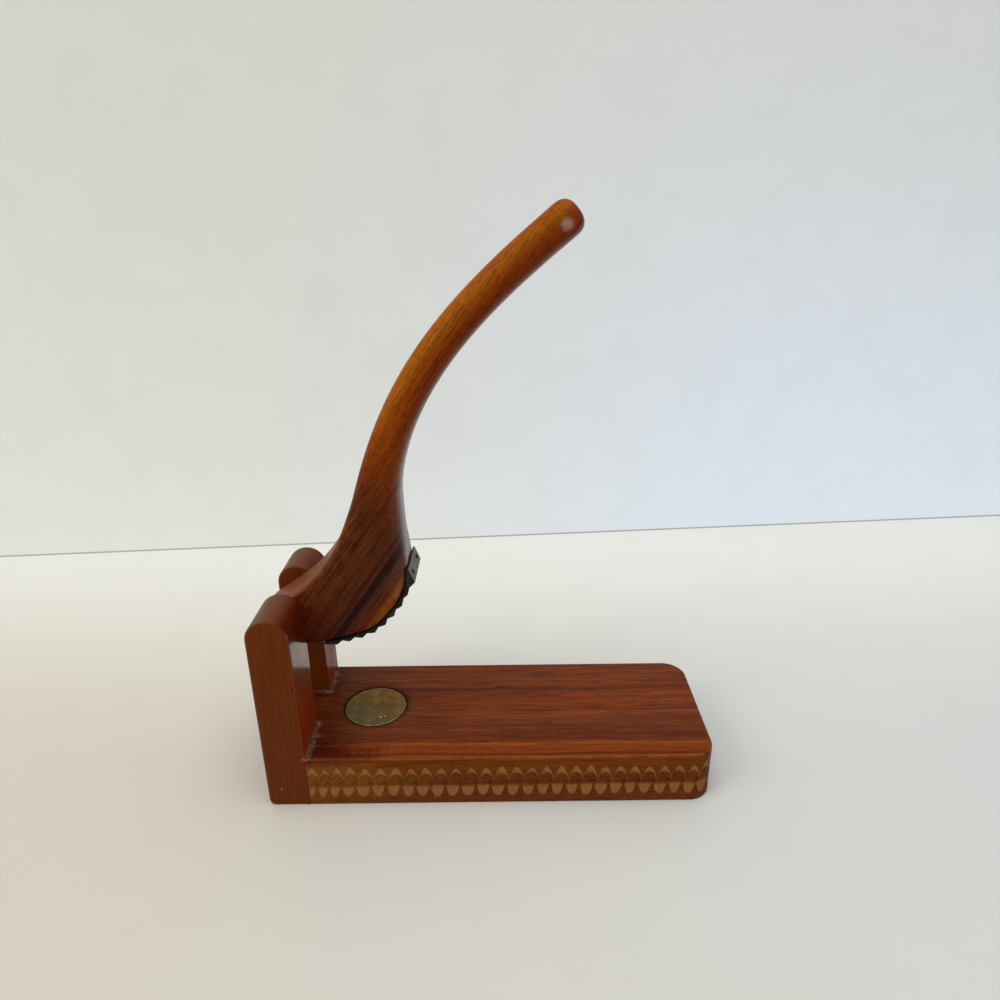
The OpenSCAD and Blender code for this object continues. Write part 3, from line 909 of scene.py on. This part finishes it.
@dataclass
class Board(Piece):
    """The board with its tongue, its eased edges, its carved border and the disc's recess."""

    corner: float = 11.5
    long_ease: float = 0.8
    end_ease: float = 1.6
    far_ease: float = 0.4
    foot_ease: float = 0.7
    recess_d: float = 32.0
    step: float = 0.3
    sides: int = 120
    rings: tuple[tuple[float, float], ...] = ((0.0, 2.8), (0.0, 1.5), (0.0, 0.7), (0.05, 0.15), (0.25, 0.0), (2.55, 0.0))
    # How dark each recess ring is painted: dirt on the top beside the recess, painted shade down the gap round the
    # disc.
    grime_and_shade: tuple[float, ...] = (0.0, 0.25, 0.75, 0.95, 1.0, 1.0)
    border: CarvedBorder = field(default_factory=CarvedBorder)

    def outline(self, joint_x: float, slot: tuple[float, float]) -> tuple[np.ndarray, np.ndarray, float]:
        """Lays out the board's plan.

        Args:
            joint_x: where the cheeks' front faces are.
            slot: the near and the far side of the slot between the cheeks.

        Returns:
            The stations (x, y, normal x, normal y, run, easing) in order, whether each is on a carved side, and the
            carved run's length.
        """
        low, high = (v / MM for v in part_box("base_board"))
        back, near, end, far = low.x, low.y, high.x, high.y
        r = self.corner
        stations: list[tuple[float, ...]] = []
        run = 0.0

        def straight(x0: float, y0: float, x1: float, y1: float, nx: float, ny: float, ease: tuple[float, float]) -> None:
            """Adds stations along a straight side."""
            nonlocal run
            length = math.hypot(x1 - x0, y1 - y0)
            count = max(2, int(length / self.step))
            for k in range(count):
                t = k / count
                stations.append((x0 + (x1 - x0) * t, y0 + (y1 - y0) * t, nx, ny, run + length * t, ease[0] + (ease[1] - ease[0]) * t))
            run += length

        def corner(cx: float, cy: float, start: float, ease: float) -> None:
            """Adds stations round a quarter circle."""
            nonlocal run
            length = r * math.pi / 2
            count = int(length / self.step)
            for k in range(count):
                a = math.radians(start) + math.pi / 2 * k / count
                stations.append((cx + r * math.cos(a), cy + r * math.sin(a), math.cos(a), math.sin(a), run + length * k / count, ease))
            run += length

        straight(joint_x, near, end - r, near, 0, -1, (self.long_ease, self.end_ease))
        corner(end - r, near + r, -90, self.end_ease)
        straight(end, near + r, end, far - r, 1, 0, (self.end_ease, self.far_ease * 2))
        corner(end - r, far - r, 0, self.far_ease * 2)
        straight(end - r, far, joint_x, far, 0, 1, (self.far_ease * 2, self.far_ease))
        carved_run = run
        carved = len(stations)
        hidden = [(joint_x, far), (joint_x, slot[1]), (back, slot[1]), (back, slot[0]), (joint_x, slot[0]), (joint_x, near)]
        normals = [(-1, 0), (0, 1), (-1, 0), (0, -1), (-1, 0)]
        for (x0, y0), (x1, y1), (nx, ny) in zip(hidden, hidden[1:], normals):
            for t in (0.0, 0.5):
                stations.append((x0 + (x1 - x0) * t, y0 + (y1 - y0) * t, nx, ny, run, 0.0))
        return np.array(stations), np.arange(len(stations)) < carved, carved_run

    def build(self, wood: bpy.types.Material) -> bpy.types.Object:
        """Builds and dresses the board."""
        low, high = (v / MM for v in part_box("base_board"))
        joint_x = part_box("near_cheek")[1].x / MM
        slot = (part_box("near_cheek")[1].y / MM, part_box("far_cheek")[0].y / MM)
        plan, carved, length = self.outline(joint_x, slot)
        top = high.z
        turns = np.linspace(0, math.pi / 2, 6)
        middle = np.arange(self.foot_ease + self.step, top - self.end_ease - 0.05, self.step)
        levels = [("foot", t) for t in turns] + [("side", z) for z in middle] + [("top", t) for t in turns]
        rows = []
        ease = plan[:, 5]
        for kind, value in levels:
            if kind == "foot":
                e = np.minimum(self.foot_ease, ease)
                z, inset = e * (1 - np.cos(value)), e * (1 - np.sin(value))
            elif kind == "side":
                z, inset = np.full(len(plan), value), np.zeros(len(plan))
            else:
                z, inset = top - ease * (1 - np.sin(value)), ease * (1 - np.cos(value))
            rows.append((z, inset))
        z = np.array([r[0] for r in rows])
        inset = np.array([r[1] for r in rows])
        run = np.broadcast_to(plan[:, 4], z.shape)
        depth, cut, line = self.border.relief(run, z, length)
        depth, cut, line = depth * carved, cut * carved, line * carved
        x = plan[:, 0] - plan[:, 2] * (inset + depth)
        y = plan[:, 1] - plan[:, 3] * (inset + depth)
        shape = Shape()
        shape.points = np.stack([x, y, z], -1).reshape(-1, 3).tolist()
        count, last = len(plan), len(levels) - 1
        shape.faces = loft_faces(len(levels), count)
        edge = np.zeros(z.shape)
        for k, (kind, value) in enumerate(levels):
            edge[k] = math.sin(2 * value) * carved if kind != "side" else 0.0
        paints = {"edge": edge.ravel(), "cut": cut.ravel(), "line": line.ravel()}
        centre = (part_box("anvil_disc")[0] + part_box("anvil_disc")[1]) / (2 * MM)
        self.close(shape, count, last, centre, top)
        extra = len(shape.points) - edge.size
        shape.paints = {k: np.concatenate([v, np.zeros(extra)]) for k, v in paints.items()}
        # The recess rings take the dark line paint: dirt on the top beside the recess, painted shade in the gap round
        # the disc.
        shape.paints["line"][edge.size:] = np.repeat(self.grime_and_shade, self.sides)
        return self.dress(shape.to_object("board"), wood, "board_wood", "base_board")

    def close(self, shape: Shape, count: int, last: int, centre: Vector, top: float) -> None:
        """Closes the board: the top face round the disc's recess, the recess and the underside.

        Args:
            shape: the board so far, with its rings of stations.
            count: how many stations a ring has.
            last: the number of the uppermost ring.
            centre: the recess's centre, in millimetres.
            top: the height of the top face.
        """
        sides = self.sides
        first = len(shape.points)
        uneven = [0.35 * math.sin(2.0 * math.pi * k / sides + 0.6) + 0.15 * math.sin(6.0 * math.pi * k / sides) for k in range(sides)]
        for drop, grow in self.rings:
            for k in range(sides):
                a = 2 * math.pi * k / sides
                r = self.recess_d / 2 + grow * (1 + (uneven[k] if grow > 0.3 else 0))
                shape.points.append([centre.x + r * math.cos(a), centre.y + r * math.sin(a), top - drop])
        rim = list(range(last * count, (last + 1) * count))
        hole = list(range(first, first + sides))
        loops = [[Vector(shape.points[i]) for i in loop] for loop in (rim, hole)]
        flat = rim + hole
        for a, b, c in tessellate_polygon(loops):
            i, j, k = flat[a], flat[b], flat[c]
            p, q, r = (Vector(shape.points[n]) for n in (i, j, k))
            shape.faces.append((i, j, k) if (q - p).cross(r - p).z > 0 else (i, k, j))
        for ring in range(len(self.rings) - 1):
            for k in range(sides):
                a, b = first + ring * sides + k, first + ring * sides + (k + 1) % sides
                shape.faces.append((b, a, a + sides, b + sides))
        foot = first + (len(self.rings) - 1) * sides
        shape.faces.append(tuple(range(foot, foot + sides)))
        shape.faces.append(tuple(reversed(range(count))))


@dataclass
class Cheek(Piece):
    """One upright cheek, round on top, lofted from face to face across its width."""

    name: str = "near_cheek"
    outer_low: bool = True
    front_ease: float = 0.8
    back_ease: float = 1.3
    inner_ease: float = 1.2
    foot_round: float = 3.0
    step: float = 1.0

    def profile(self, front: float, back: float, top: float) -> tuple[np.ndarray, np.ndarray]:
        """Returns the cheek's side outline and its outward normals, anticlockwise from its front foot."""
        r, foot_r = (front - back) / 2, self.foot_round
        rise = np.arange(0, top - r, self.step)
        arc = np.linspace(0, math.pi, 48)
        fall = np.arange(top - r, foot_r, -self.step)[1:]
        turn = np.linspace(math.pi, 1.5 * math.pi, 9)
        foot = np.linspace(back + foot_r, front, 12)[1:-1]
        points = np.concatenate([
            np.stack([np.full(len(rise), front), rise], -1),
            np.stack([(front + back) / 2 + r * np.cos(arc), top - r + r * np.sin(arc)], -1),
            np.stack([np.full(len(fall), back), fall], -1),
            np.stack([back + foot_r + foot_r * np.cos(turn), foot_r + foot_r * np.sin(turn)], -1),
            np.stack([foot, np.zeros(len(foot))], -1)])
        normals = np.concatenate([
            np.tile([1.0, 0.0], (len(rise), 1)), np.stack([np.cos(arc), np.sin(arc)], -1),
            np.tile([-1.0, 0.0], (len(fall), 1)), np.stack([np.cos(turn), np.sin(turn)], -1),
            np.tile([0.0, -1.0], (len(foot), 1))])
        return points, normals

    def build(self, wood: bpy.types.Material) -> bpy.types.Object:
        """Builds and dresses the cheek."""
        low, high = (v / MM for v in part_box(self.name))
        points, normals = self.profile(high.x, low.x, high.z)
        outward = np.clip(-normals[:, 0], 0, 1)
        shape, edges, shine, painted_sheen, warm_light_and_tone, painted_shade = Shape(), [], [], [], [], []
        crown = np.clip(normals[:, 1] * 1.8 - 0.1, 0, 1) * np.clip(0.75 - normals[:, 0], 0, 1)
        front = np.clip(normals[:, 0] * 1.6 - 0.4, 0, 1)
        turns = np.linspace(0, math.pi / 2, 9)
        width = high.y - low.y
        stations = [("outer", t) for t in turns] + [("flat", k / 26) for k in range(1, 26)] + [("inner", t) for t in turns[::-1]]
        for kind, value in stations:
            ease = self.front_ease + (self.back_ease - self.front_ease) * outward if kind == "outer" else np.full(len(points), self.inner_ease)
            if kind == "flat":
                inset, run = np.zeros(len(points)), np.full(len(points), self.back_ease + (width - self.back_ease - self.inner_ease) * value)
            else:
                inset, run = ease * (1 - math.sin(value)), ease * (1 - math.cos(value))
                run = width - run if kind == "inner" else run
            y = low.y + run if self.outer_low else high.y - run
            shape.points += np.stack([points[:, 0] - normals[:, 0] * inset, y, points[:, 1] - normals[:, 1] * inset], -1).tolist()
            share = math.sin(2 * value) if kind != "flat" else 0.0
            edges.append(np.full(len(points), share) * (points[:, 1] > 0.5))
            onto = math.sin(value) if kind != "flat" else 1.0
            upper = np.clip((points[:, 1] + 0.63 * run - 87) / 4, 0, 1)
            lower = np.clip((73 - points[:, 1] - 0.65 * run) / 12, 0, 1)
            # A painted highlight along the rounded back edge on the outer side, laid with the painted sheen.
            band = 0.9 * math.sqrt(share) if kind == "outer" else 0.0
            shine.append((normals[:, 0] > 0.9) * (1 - 0.85 * lower) * onto)
            # Painted sheen: the rounded top and the back edge take a pale tone, where a grazing reflection shows.
            painted_sheen.append(np.maximum(crown * onto**2, (outward > 0.5) * band))
            # Painted light: the lower front face brighter and warmer, for the light that the board throws on it.
            warm_light_and_tone.append(front * lower * onto)
            # Painted shade: the upper front face dark red, where the lever's head shades it and is mirrored in it.
            painted_shade.append(front * upper * onto)
        count = len(points)
        shape.faces = loft_faces(len(stations), count)
        shape.faces += [tuple(reversed(range(count))), tuple(range((len(stations) - 1) * count, len(stations) * count))]
        if self.outer_low:
            shape.faces = [tuple(reversed(f)) for f in shape.faces]
        shape.paints = {
            "edge": np.concatenate(edges), "gloss": np.concatenate(shine), "painted_sheen": np.concatenate(painted_sheen),
            "warm_light_and_tone": np.concatenate(warm_light_and_tone), "painted_shade": np.concatenate(painted_shade)}
        return self.dress(shape.to_object(self.name + "_shaped"), wood, "cheek_wood", self.name)


@dataclass
class Disc(Piece):
    """The anvil disc, with a turned edge and a face dented by use."""

    rings: int = 40
    sides: int = 128
    edge: float = 0.35

    def build(self, metal: bpy.types.Material) -> bpy.types.Object:
        """Builds and dresses the disc."""
        low, high = (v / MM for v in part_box("anvil_disc"))
        middle, r = (low + high) / 2, (high.x - low.x) / 2
        shape = Shape()
        dice = np.random.default_rng(5)
        pits = [(dice.normal(0, 5), dice.normal(-1, 5), dice.uniform(0.5, 1.4), dice.uniform(0.03, 0.09)) for _ in range(26)]
        pits += [(3.2 + dice.normal(0, 1.8), -6.6 + dice.normal(0, 1.2), dice.uniform(0.3, 0.7), dice.uniform(0.06, 0.14)) for _ in range(18)]
        levels = [(r - self.edge, low.z), (r, low.z + self.edge), (r, high.z - self.edge)]
        levels += [(r - self.edge * (1 - math.cos(t)), high.z - self.edge * (1 - math.sin(t))) for t in np.linspace(0.3, math.pi / 2, 5)]
        levels += [((r - self.edge) * (1 - k / self.rings), high.z) for k in range(1, self.rings)]
        edges = []
        for radius, z in levels:
            for k in range(self.sides):
                a = 2 * math.pi * k / self.sides
                x, y = radius * math.cos(a), radius * math.sin(a)
                sink = 0.0
                if radius < r - self.edge and z == high.z:
                    sink = 0.08 * (1 - (radius / r) ** 2)
                    sink += sum(d * math.exp(-((x - px) ** 2 + (y - py) ** 2) / s**2) for px, py, s, d in pits)
                shape.points.append([middle.x + x, middle.y + y, z - sink])
                edges.append(1.0 if abs(radius - r) < self.edge and z > high.z - self.edge else 0.0)
        shape.faces = loft_faces(len(levels), self.sides)
        last = (len(levels) - 1) * self.sides
        shape.faces += [tuple(range(last, last + self.sides)), tuple(reversed(range(self.sides)))]
        shape.paints = {"edge": np.array(edges)}
        return self.dress(shape.to_object("disc_face"), metal, "anvil_brass", "anvil_disc")


@dataclass
class Lever(Piece):
    """The lever's wood: head, neck and handle, lofted as the CAD lofts it but finer."""

    width: float = 26.0
    head_h: float = 63.2
    outline: tuple[tuple[float, ...], ...] = (
        (-20.3, 0.8, -19.6, -7.1, 6), (-16.6, 6.8, -13.4, -16.1, 12), (-5.5, 14.6, 1.6, -17.4, 14),
        (7.9, 23.7, 20.6, -17.2, 14), (19.0, 32.6, 41.9, -12.7, 14), (28.5, 42.4, 64.1, -5.2, 14),
        (37.2, 53.5, 77.8, 7.0, 13), (44.3, 65.3, 88.0, 21.5, 11), (49.8, 77.5, 93.4, 39.6, 8),
        (54.1, 89.4, 91.8, 68.0, 3.6))
    neck_at: tuple[float, float] = (74.8, 100.0)
    handle_len: float = 150.5
    neck_slope: float = 79.0
    bend: float = 40.5
    neck_t: float = 20.8
    grip_t: float = 15.4
    grip_w: float = 19.0
    tip_round: float = 7.0
    neck_square: float = 3.2
    grip_square: float = 2.6
    neck_blend: float = 22.0
    narrowing: float = 60.0
    ring: int = 112

    def slope(self, s: float) -> float:
        """Returns the handle's slope at length s, in radians."""
        return math.radians(self.neck_slope - self.bend * math.sin(math.pi / 2 * s / self.handle_len))

    def centre(self, s: float) -> np.ndarray:
        """Returns the handle's centreline at length s, from the pivot."""
        at = np.array(self.neck_at) * self.head_h / 100
        count = max(1, math.ceil(s))
        for k in range(count if s > 0 else 0):
            a = self.slope((k + 0.5) * s / count)
            at = at + s / count * np.array([math.cos(a), math.sin(a)])
        return at

    def handle_row(self, s: float, shrink: float = 1.0) -> np.ndarray:
        """Returns one row of the handle, as back point, front point, squareness and width."""
        ease = math.exp(-s / self.neck_blend)
        thick = self.grip_t + (self.neck_t - self.grip_t) * ease
        spread = 0.5 + 0.5 * math.cos(math.pi * s / self.narrowing) if s < self.narrowing else 0.0
        wide = self.grip_w + (self.width - self.grip_w) * spread
        a, c = self.slope(s), self.centre(s)
        off = np.array([-math.sin(a), math.cos(a)]) * thick * shrink / 2
        square = self.grip_square + (self.neck_square - self.grip_square) * ease
        return np.array([*(c + off), *(c - off), square, wide * shrink])

    def knots(self) -> list[np.ndarray]:
        """Returns the rows that the head is drawn through."""
        unit = self.head_h / 100
        rows = [np.array([*(v * unit for v in row[:4]), row[4], self.width]) for row in self.outline]
        return rows + [self.handle_row(0), self.handle_row(6)]

    def head_row(self, i: int, t: float) -> np.ndarray:
        """Returns the row at share t past knot i of the head."""
        knots = self.knots()
        return catmull(knots[max(i - 1, 0)], knots[i], knots[i + 1], knots[i + 2], t)

    def rows(self) -> list[np.ndarray]:
        """Returns every row of the loft, from the heel to the tip."""
        body = self.handle_len - self.tip_round
        head = [self.head_row(i, k / 12) for i in range(len(self.outline)) for k in range(12)]
        handle = [self.handle_row(k * body / 100) for k in range(100)]
        e = 2 / self.grip_square
        angles = [math.radians(84 * k / 24) for k in range(25)]
        tip = [self.handle_row(body + self.tip_round * math.sin(a) ** e, math.cos(a) ** e) for a in angles]
        return head + handle + tip

    def build(self, wood: bpy.types.Material, pivot: Vector) -> bpy.types.Object:
        """Builds and dresses the lever's wood.

        Args:
            wood: its finish.
            pivot: the hinge's place, in millimetres.

        Returns:
            The piece.
        """
        shape = Shape()
        a = np.linspace(0, 2 * math.pi, self.ring, endpoint=False)
        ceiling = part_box("lever")[1].z / MM - 0.001
        edges, shine, back, warm_light_and_tone, painted_shade = [], [], [], [], []
        rows = self.rows()
        for number, row in enumerate(rows):
            u, v = signed_power(np.cos(a), 2 / row[4]), signed_power(np.sin(a), 2 / row[4])
            x = ((1 + u) * row[0] + (1 - u) * row[2]) / 2
            z = ((1 + u) * row[1] + (1 - u) * row[3]) / 2
            y = v * row[5] / 2
            shape.points += np.stack([pivot.x + x, pivot.y + y, np.minimum(pivot.z + z, ceiling)], -1).tolist()
            square = min(1.0, (row[4] - 2.6) / 6)
            edges.append(np.clip(np.abs(u * v) * 1.2 - 0.2, 0, 1) * square * (u > 0))
            shine.append(np.clip(-u * 3 - 1.6, 0, 1) * (1.0 if row[1] > 40 else 0.0))
            # Painted sheen: a pale tone on the head's back face, where a grazing reflection shows.
            back.append(np.clip(u * 12 - 10.5, 0, 1) * float(np.clip((70 - row[1]) / 30, 0, 1)))
            handle = float(np.clip((row[1] - 75) / 45, 0, 1))
            tip = float(np.clip((number - len(rows) + 26) / 16, 0, 1)) * np.clip(0.7 - 0.9 * u, 0, 1)
            # Painted light: the handle's upper side brighter and golden, partly the wood's own tone.
            warm_light_and_tone.append(handle * np.clip((u + 0.15) / 0.6, 0, 1) * np.clip(1.6 - u, 0.6, 1) * (1 - tip))
            # Painted shade: the handle's underside darker, and the tip darker on its lower side.
            painted_shade.append(np.maximum(handle * 0.6 * np.clip((0.1 - u) / 0.7, 0, 1), tip))
        rings = len(edges)
        shape.faces = loft_faces(rings, self.ring)
        shape.faces += [tuple(reversed(range(self.ring))), tuple(range((rings - 1) * self.ring, rings * self.ring))]
        shape.faces = [tuple(reversed(f)) for f in shape.faces]
        shape.paints = {
            "edge": np.concatenate(edges), "gloss": np.concatenate(shine), "painted_sheen": np.concatenate(back),
            "warm_light_and_tone": np.concatenate(warm_light_and_tone), "painted_shade": np.concatenate(painted_shade)}
        return self.dress(shape.to_object("lever_carved", 40.0), wood, "lever_wood", "lever")


@dataclass
class ToothedStrip(Piece):
    """The toothed metal strip on the seat under the head, and its four brads."""

    lever: Lever = field(default_factory=lambda: Lever(Body.LEVER))
    pitch: float = 6.3
    count: int = 9
    thick: float = 0.9
    tooth: float = 1.5
    lip: float = 4.1
    flank: float = 5.8
    gap: float = 0.05
    brad_edge: float = 5.0

    def seat(self) -> tuple[np.ndarray, np.ndarray]:
        """Returns the seat's line and its length to each point."""
        rows = [self.lever.head_row(i, k / 12) for i in range(3, 9) for k in range(12) if i > 3 or k / 12 >= 0.3]
        line = np.array([[r[2], r[3]] for r in rows])
        return line, np.concatenate([[0], np.cumsum(np.linalg.norm(np.diff(line, axis=0), axis=1))])

    def on_seat(self, s: float, h: float) -> np.ndarray:
        """Returns the point at length s along the seat, moved out from the wood by h."""
        line, run = self.seat()
        i = int(np.clip(np.searchsorted(run, s), 1, len(run) - 1))
        d = (line[i] - line[i - 1]) / np.linalg.norm(line[i] - line[i - 1])
        return line[i - 1] + d * (s - run[i - 1]) + h * np.array([d[1], -d[0]])

    def outline(self) -> tuple[np.ndarray, np.ndarray]:
        """Returns the strip's side outline, finely divided, and how much each point is a crest."""
        root, last = self.gap + self.thick, self.count - 1
        crest = root + self.tooth
        length = 2 * self.flank + last * self.pitch
        out = [(self.on_seat(0, self.gap), 0.0), (self.on_seat(0, root), 0.3)]
        for i in range(self.count):
            out.append((self.on_seat(self.flank + i * self.pitch, self.lip if i == last else crest), 1.0))
            if i < last:
                rise = (self.lip - crest) / 2 if i == last - 1 else 0.0
                out.append((self.on_seat(self.flank + (i + 0.47) * self.pitch, root + rise), 0.0))
        out += [(self.on_seat(length, root), 0.3), (self.on_seat(length, self.gap), 0.0)]
        _, run = self.seat()
        out += [(self.on_seat(s, self.gap), 0.0) for s in run[::-1] if 0 < s < length]
        fine, crests = [], []
        for (p, a), (q, b) in zip(out, out[1:] + out[:1]):
            steps = max(1, int(np.linalg.norm(q - p) / 0.4))
            for k in range(steps):
                t = k / steps
                fine.append(p + (q - p) * t)
                crests.append(a * max(0.0, 1 - 4 * t) + b * max(0.0, 4 * t - 3))
        return np.array(fine), np.array(crests)

    def build(self, metal: bpy.types.Material, dark: bpy.types.Material, pivot: Vector) -> list[bpy.types.Object]:
        """Builds and dresses the strip and its brads.

        Args:
            metal: the strip's finish.
            dark: the brads' finish.
            pivot: the hinge's place, in millimetres.

        Returns:
            The pieces.
        """
        line, crests = self.outline()
        middle = line.mean(0)
        shape = Shape()
        half = self.lever.width / 2
        across = np.concatenate([[-half], np.linspace(-half + 0.2, half - 0.2, 44), [half]])
        count = len(line)
        edges, facets = [], []
        tip = self.on_seat(self.flank + (self.count - 1) * self.pitch, self.lip)
        end = self.on_seat(2 * self.flank + (self.count - 1) * self.pitch, self.gap + self.thick)
        way = (end - tip) / np.linalg.norm(end - tip)
        off = np.abs((line - tip) @ np.array([-way[1], way[0]]))
        flank = np.clip(1 - off / 0.1, 0, 1) * ((line - tip) @ way > 0.3)
        for y in across:
            side = abs(abs(y) - half) < 0.01
            pull = 0.18 if side else 0.0
            inward = (middle - line) / np.linalg.norm(middle - line, axis=1)[:, None]
            filed = 0.10 * (1 + wobble(np.arange(count) * 0.4, np.full(count, y), 5.0, 6.0)) * crests
            p = line + inward * (pull + filed)[:, None]
            shape.points += np.stack([pivot.x + p[:, 0], np.full(count, pivot.y + y), pivot.z + p[:, 1]], -1).tolist()
            edges.append(np.clip(crests * 0.6, 0, 1) * (0.0 if side else 1.0))
            facets.append(flank * (0.0 if side else 1.0))
        rings = len(across)
        shape.faces = loft_faces(rings, count)
        shape.faces += [tuple(reversed(range(count))), tuple(range((rings - 1) * count, rings * count))]
        shape.faces = [tuple(reversed(f)) for f in shape.faces]
        shape.paints = {"edge": np.concatenate(edges), "facet": np.concatenate(facets)}
        made = [self.dress(shape.to_object("strip_teeth", 28.0), metal, "strip_iron", "toothed_strip")]
        for i in range(1, 5):
            made.append(self.brad(i, dark))
        return made

    def brad(self, number: int, dark: bpy.types.Material) -> bpy.types.Object:
        """Builds one brad on its flank: a domed head, hammered a little off round.

        Args:
            number: the brad's number.
            dark: its finish.

        Returns:
            The piece.
        """
        root, last = self.gap + self.thick, self.count - 1
        crest, length = root + self.tooth, 2 * self.flank + last * self.pitch
        ends = ((self.on_seat(0, root), self.on_seat(self.flank, crest)),
                (self.on_seat(self.flank + last * self.pitch, self.lip), self.on_seat(length, root)))[0 if number < 3 else 1]
        low, high = (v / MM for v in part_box(f"strip_brad_{number}"))
        d = (ends[1] - ends[0]) / np.linalg.norm(ends[1] - ends[0])
        out = Vector((d[1], 0, -d[0]))
        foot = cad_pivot() + Vector(((ends[0] + ends[1])[0] / 2, 0, (ends[0] + ends[1])[1] / 2))
        foot.y = (low.y + high.y) / 2
        side = Vector((0, 1, 0))
        along = out.cross(side)
        shape, sides = Shape(), 28
        levels = [(0.7, -9.0), (0.75, -0.2), (0.8, 0.0), (1.3, 0.02), (1.28, 0.2), (1.1, 0.36), (0.75, 0.46), (0.3, 0.49)]
        for radius, rise in levels:
            for k in range(sides):
                a = 2 * math.pi * k / sides
                r = radius * (1 + (0.05 * math.sin(2 * a + number) if radius > 1 else 0))
                shape.points.append(list(foot + out * rise + (along * math.cos(a) + side * math.sin(a)) * r))
        shape.faces = loft_faces(len(levels), sides)
        shape.faces += [tuple(reversed(range(sides))), tuple(range((len(levels) - 1) * sides, len(levels) * sides))]
        shape.paints = {"edge": np.repeat([0, 0, 0, 0.4, 1, 0.6, 0.2, 0.0], sides)}
        return self.dress(shape.to_object(f"brad_head_{number}"), dark, "brad_steel", f"strip_brad_{number}")


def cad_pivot() -> Vector:
    """Returns the hinge's place in millimetres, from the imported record."""
    return Vector(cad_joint()["pos_m"]) / MM


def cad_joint() -> dict:
    """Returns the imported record's one joint."""
    return FRAME["record"]["behaviour"]["joints"][0]


@dataclass
class HiddenHardware:
    """The pin and the dowels, which keep their CAD shapes and take a finish."""

    def build(self, steel: bpy.types.Material, beech: bpy.types.Material) -> None:
        """Gives each CAD node its material."""
        for name, material in (("pivot_pin", steel), ("cheek_dowel_1", beech), ("cheek_dowel_2", beech)):
            node = FRAME["nodes"][name]
            node.data.materials.clear()
            node.data.materials.append(material)
            LOG.info("%s: finished as it is", name)


@dataclass
class Stage:
    """The pale floor and wall, the lights and the camera."""

    left: Point = (-315.6, 252.6, 0.0)
    right: Point = (346.0, 298.8, 0.0)
    eye: Point = (7.255, -309.843, 259.710)
    focal: float = 725.41
    yaw: float = -0.0037
    pitch: float = 0.3677
    roll: float = -0.0144

    def backdrop(self) -> None:
        """Builds the floor, the wall and a thin grey strip in the seam between them, whose grey is painted shade."""
        a, b = Vector(self.left), Vector(self.right)
        along = (b - a).normalized()
        back = Vector((-along.y, along.x, 0))
        far_left, far_right = a - along * 1500, b + along * 1500
        floor = Shape(points=[list(p) for p in (far_left - back * 2600, far_right - back * 2600, far_right, far_left)], faces=[(0, 1, 2, 3)])
        gap = Shape(points=[list(p) for p in (far_left, far_right, far_right + Vector((0, 0, 1.3)), far_left + Vector((0, 0, 1.3)))], faces=[(0, 1, 2, 3)])
        wall = Shape(points=[list(p) for p in (far_left + Vector((0, 0, 1.3)), far_right + Vector((0, 0, 1.3)), far_right + Vector((0, 0, 2000)), far_left + Vector((0, 0, 2000)))], faces=[(0, 1, 2, 3)])
        for shape, name, paint in ((floor, "stage_floor", FLOOR_PAINT), (gap, "stage_gap_shade", GAP_SHADE_PAINT), (wall, "stage_wall", WALL_PAINT)):
            made = shape.to_object(name)
            made.data.materials.append(paint.build())

    def lamp(self, name: str, at: Point, aim: Point, size: float, watts: float, tone: Tone) -> None:
        """Adds one soft area light.

        Args:
            name: the light's name.
            at: its place, in millimetres.
            aim: the point that it faces.
            size: its side, in millimetres.
            watts: its power.
            tone: its colour.
        """
        data = bpy.data.lights.new(name, "AREA")
        data.size, data.energy, data.color = size * MM, watts, linear(tone)[:3]
        made = bpy.data.objects.new(name, data)
        bpy.context.scene.collection.objects.link(made)
        made.location = Vector(at) * MM
        made.rotation_euler = (Vector(aim) - Vector(at)).to_track_quat("-Z", "Y").to_euler()

    def light(self) -> None:
        """Adds the sky, a window from the left and a weak fill."""
        world = bpy.data.worlds.new("studio")
        world.use_nodes = True
        sky = world.node_tree.nodes["Background"]
        sky.inputs[0].default_value = (0.96, 0.98, 1.0, 1.0)
        sky.inputs[1].default_value = 0.6
        bpy.context.scene.world = world
        self.lamp("window", (-2400, -1300, 2200), (0, 0, 60), 1500, 38.0, (255, 250, 242))
        self.lamp("ceiling", (100, -100, 1800), (0, 240, 60), 1600, 24.0, (250, 252, 255))
        bpy.context.scene.view_settings.view_transform = "Standard"

    def camera(self) -> None:
        """Sets the camera at the photograph's view."""
        yaw, pitch, roll = self.yaw, self.pitch, self.roll
        ahead = Vector((math.sin(yaw) * math.cos(pitch), math.cos(yaw) * math.cos(pitch), -math.sin(pitch)))
        level = Vector((math.cos(yaw), -math.sin(yaw), 0))
        upward = level.cross(ahead)
        x = math.cos(roll) * level + math.sin(roll) * upward
        y = math.cos(roll) * upward - math.sin(roll) * level
        data = bpy.data.cameras.new("camera")
        data.sensor_width, data.sensor_fit = 36.0, "HORIZONTAL"
        data.lens = self.focal / 1000 * 36.0
        data.clip_start = 0.01
        made = bpy.data.objects.new("camera", data)
        bpy.context.scene.collection.objects.link(made)
        turn = Matrix((x, y, -ahead)).transposed().to_4x4()
        made.matrix_world = Matrix.Translation(Vector(self.eye) * MM) @ turn
        bpy.context.scene.camera = made


def main() -> None:
    """Builds the pieces, the stage and the camera, and reports each piece."""
    logging.basicConfig(level=logging.INFO, format="%(message)s")
    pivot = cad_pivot()
    cheek_wood = CHEEK_WOOD.build()
    Board(Body.BASE).build(BOARD_WOOD.build())
    Cheek(Body.BASE, "near_cheek", True).build(cheek_wood)
    Cheek(Body.BASE, "far_cheek", False).build(cheek_wood)
    Disc(Body.BASE).build(DISC_BRASS.build())
    lever = Lever(Body.LEVER)
    lever.build(LEVER_WOOD.build(), pivot)
    ToothedStrip(Body.LEVER, lever).build(STRIP_IRON.build(), BRAD_STEEL.build(), pivot)
    HiddenHardware().build(PIN_STEEL.build(), DOWEL_WOOD.build())
    stage = Stage()
    stage.backdrop()
    stage.light()
    stage.camera()


if __name__ == "__main__":
    main()
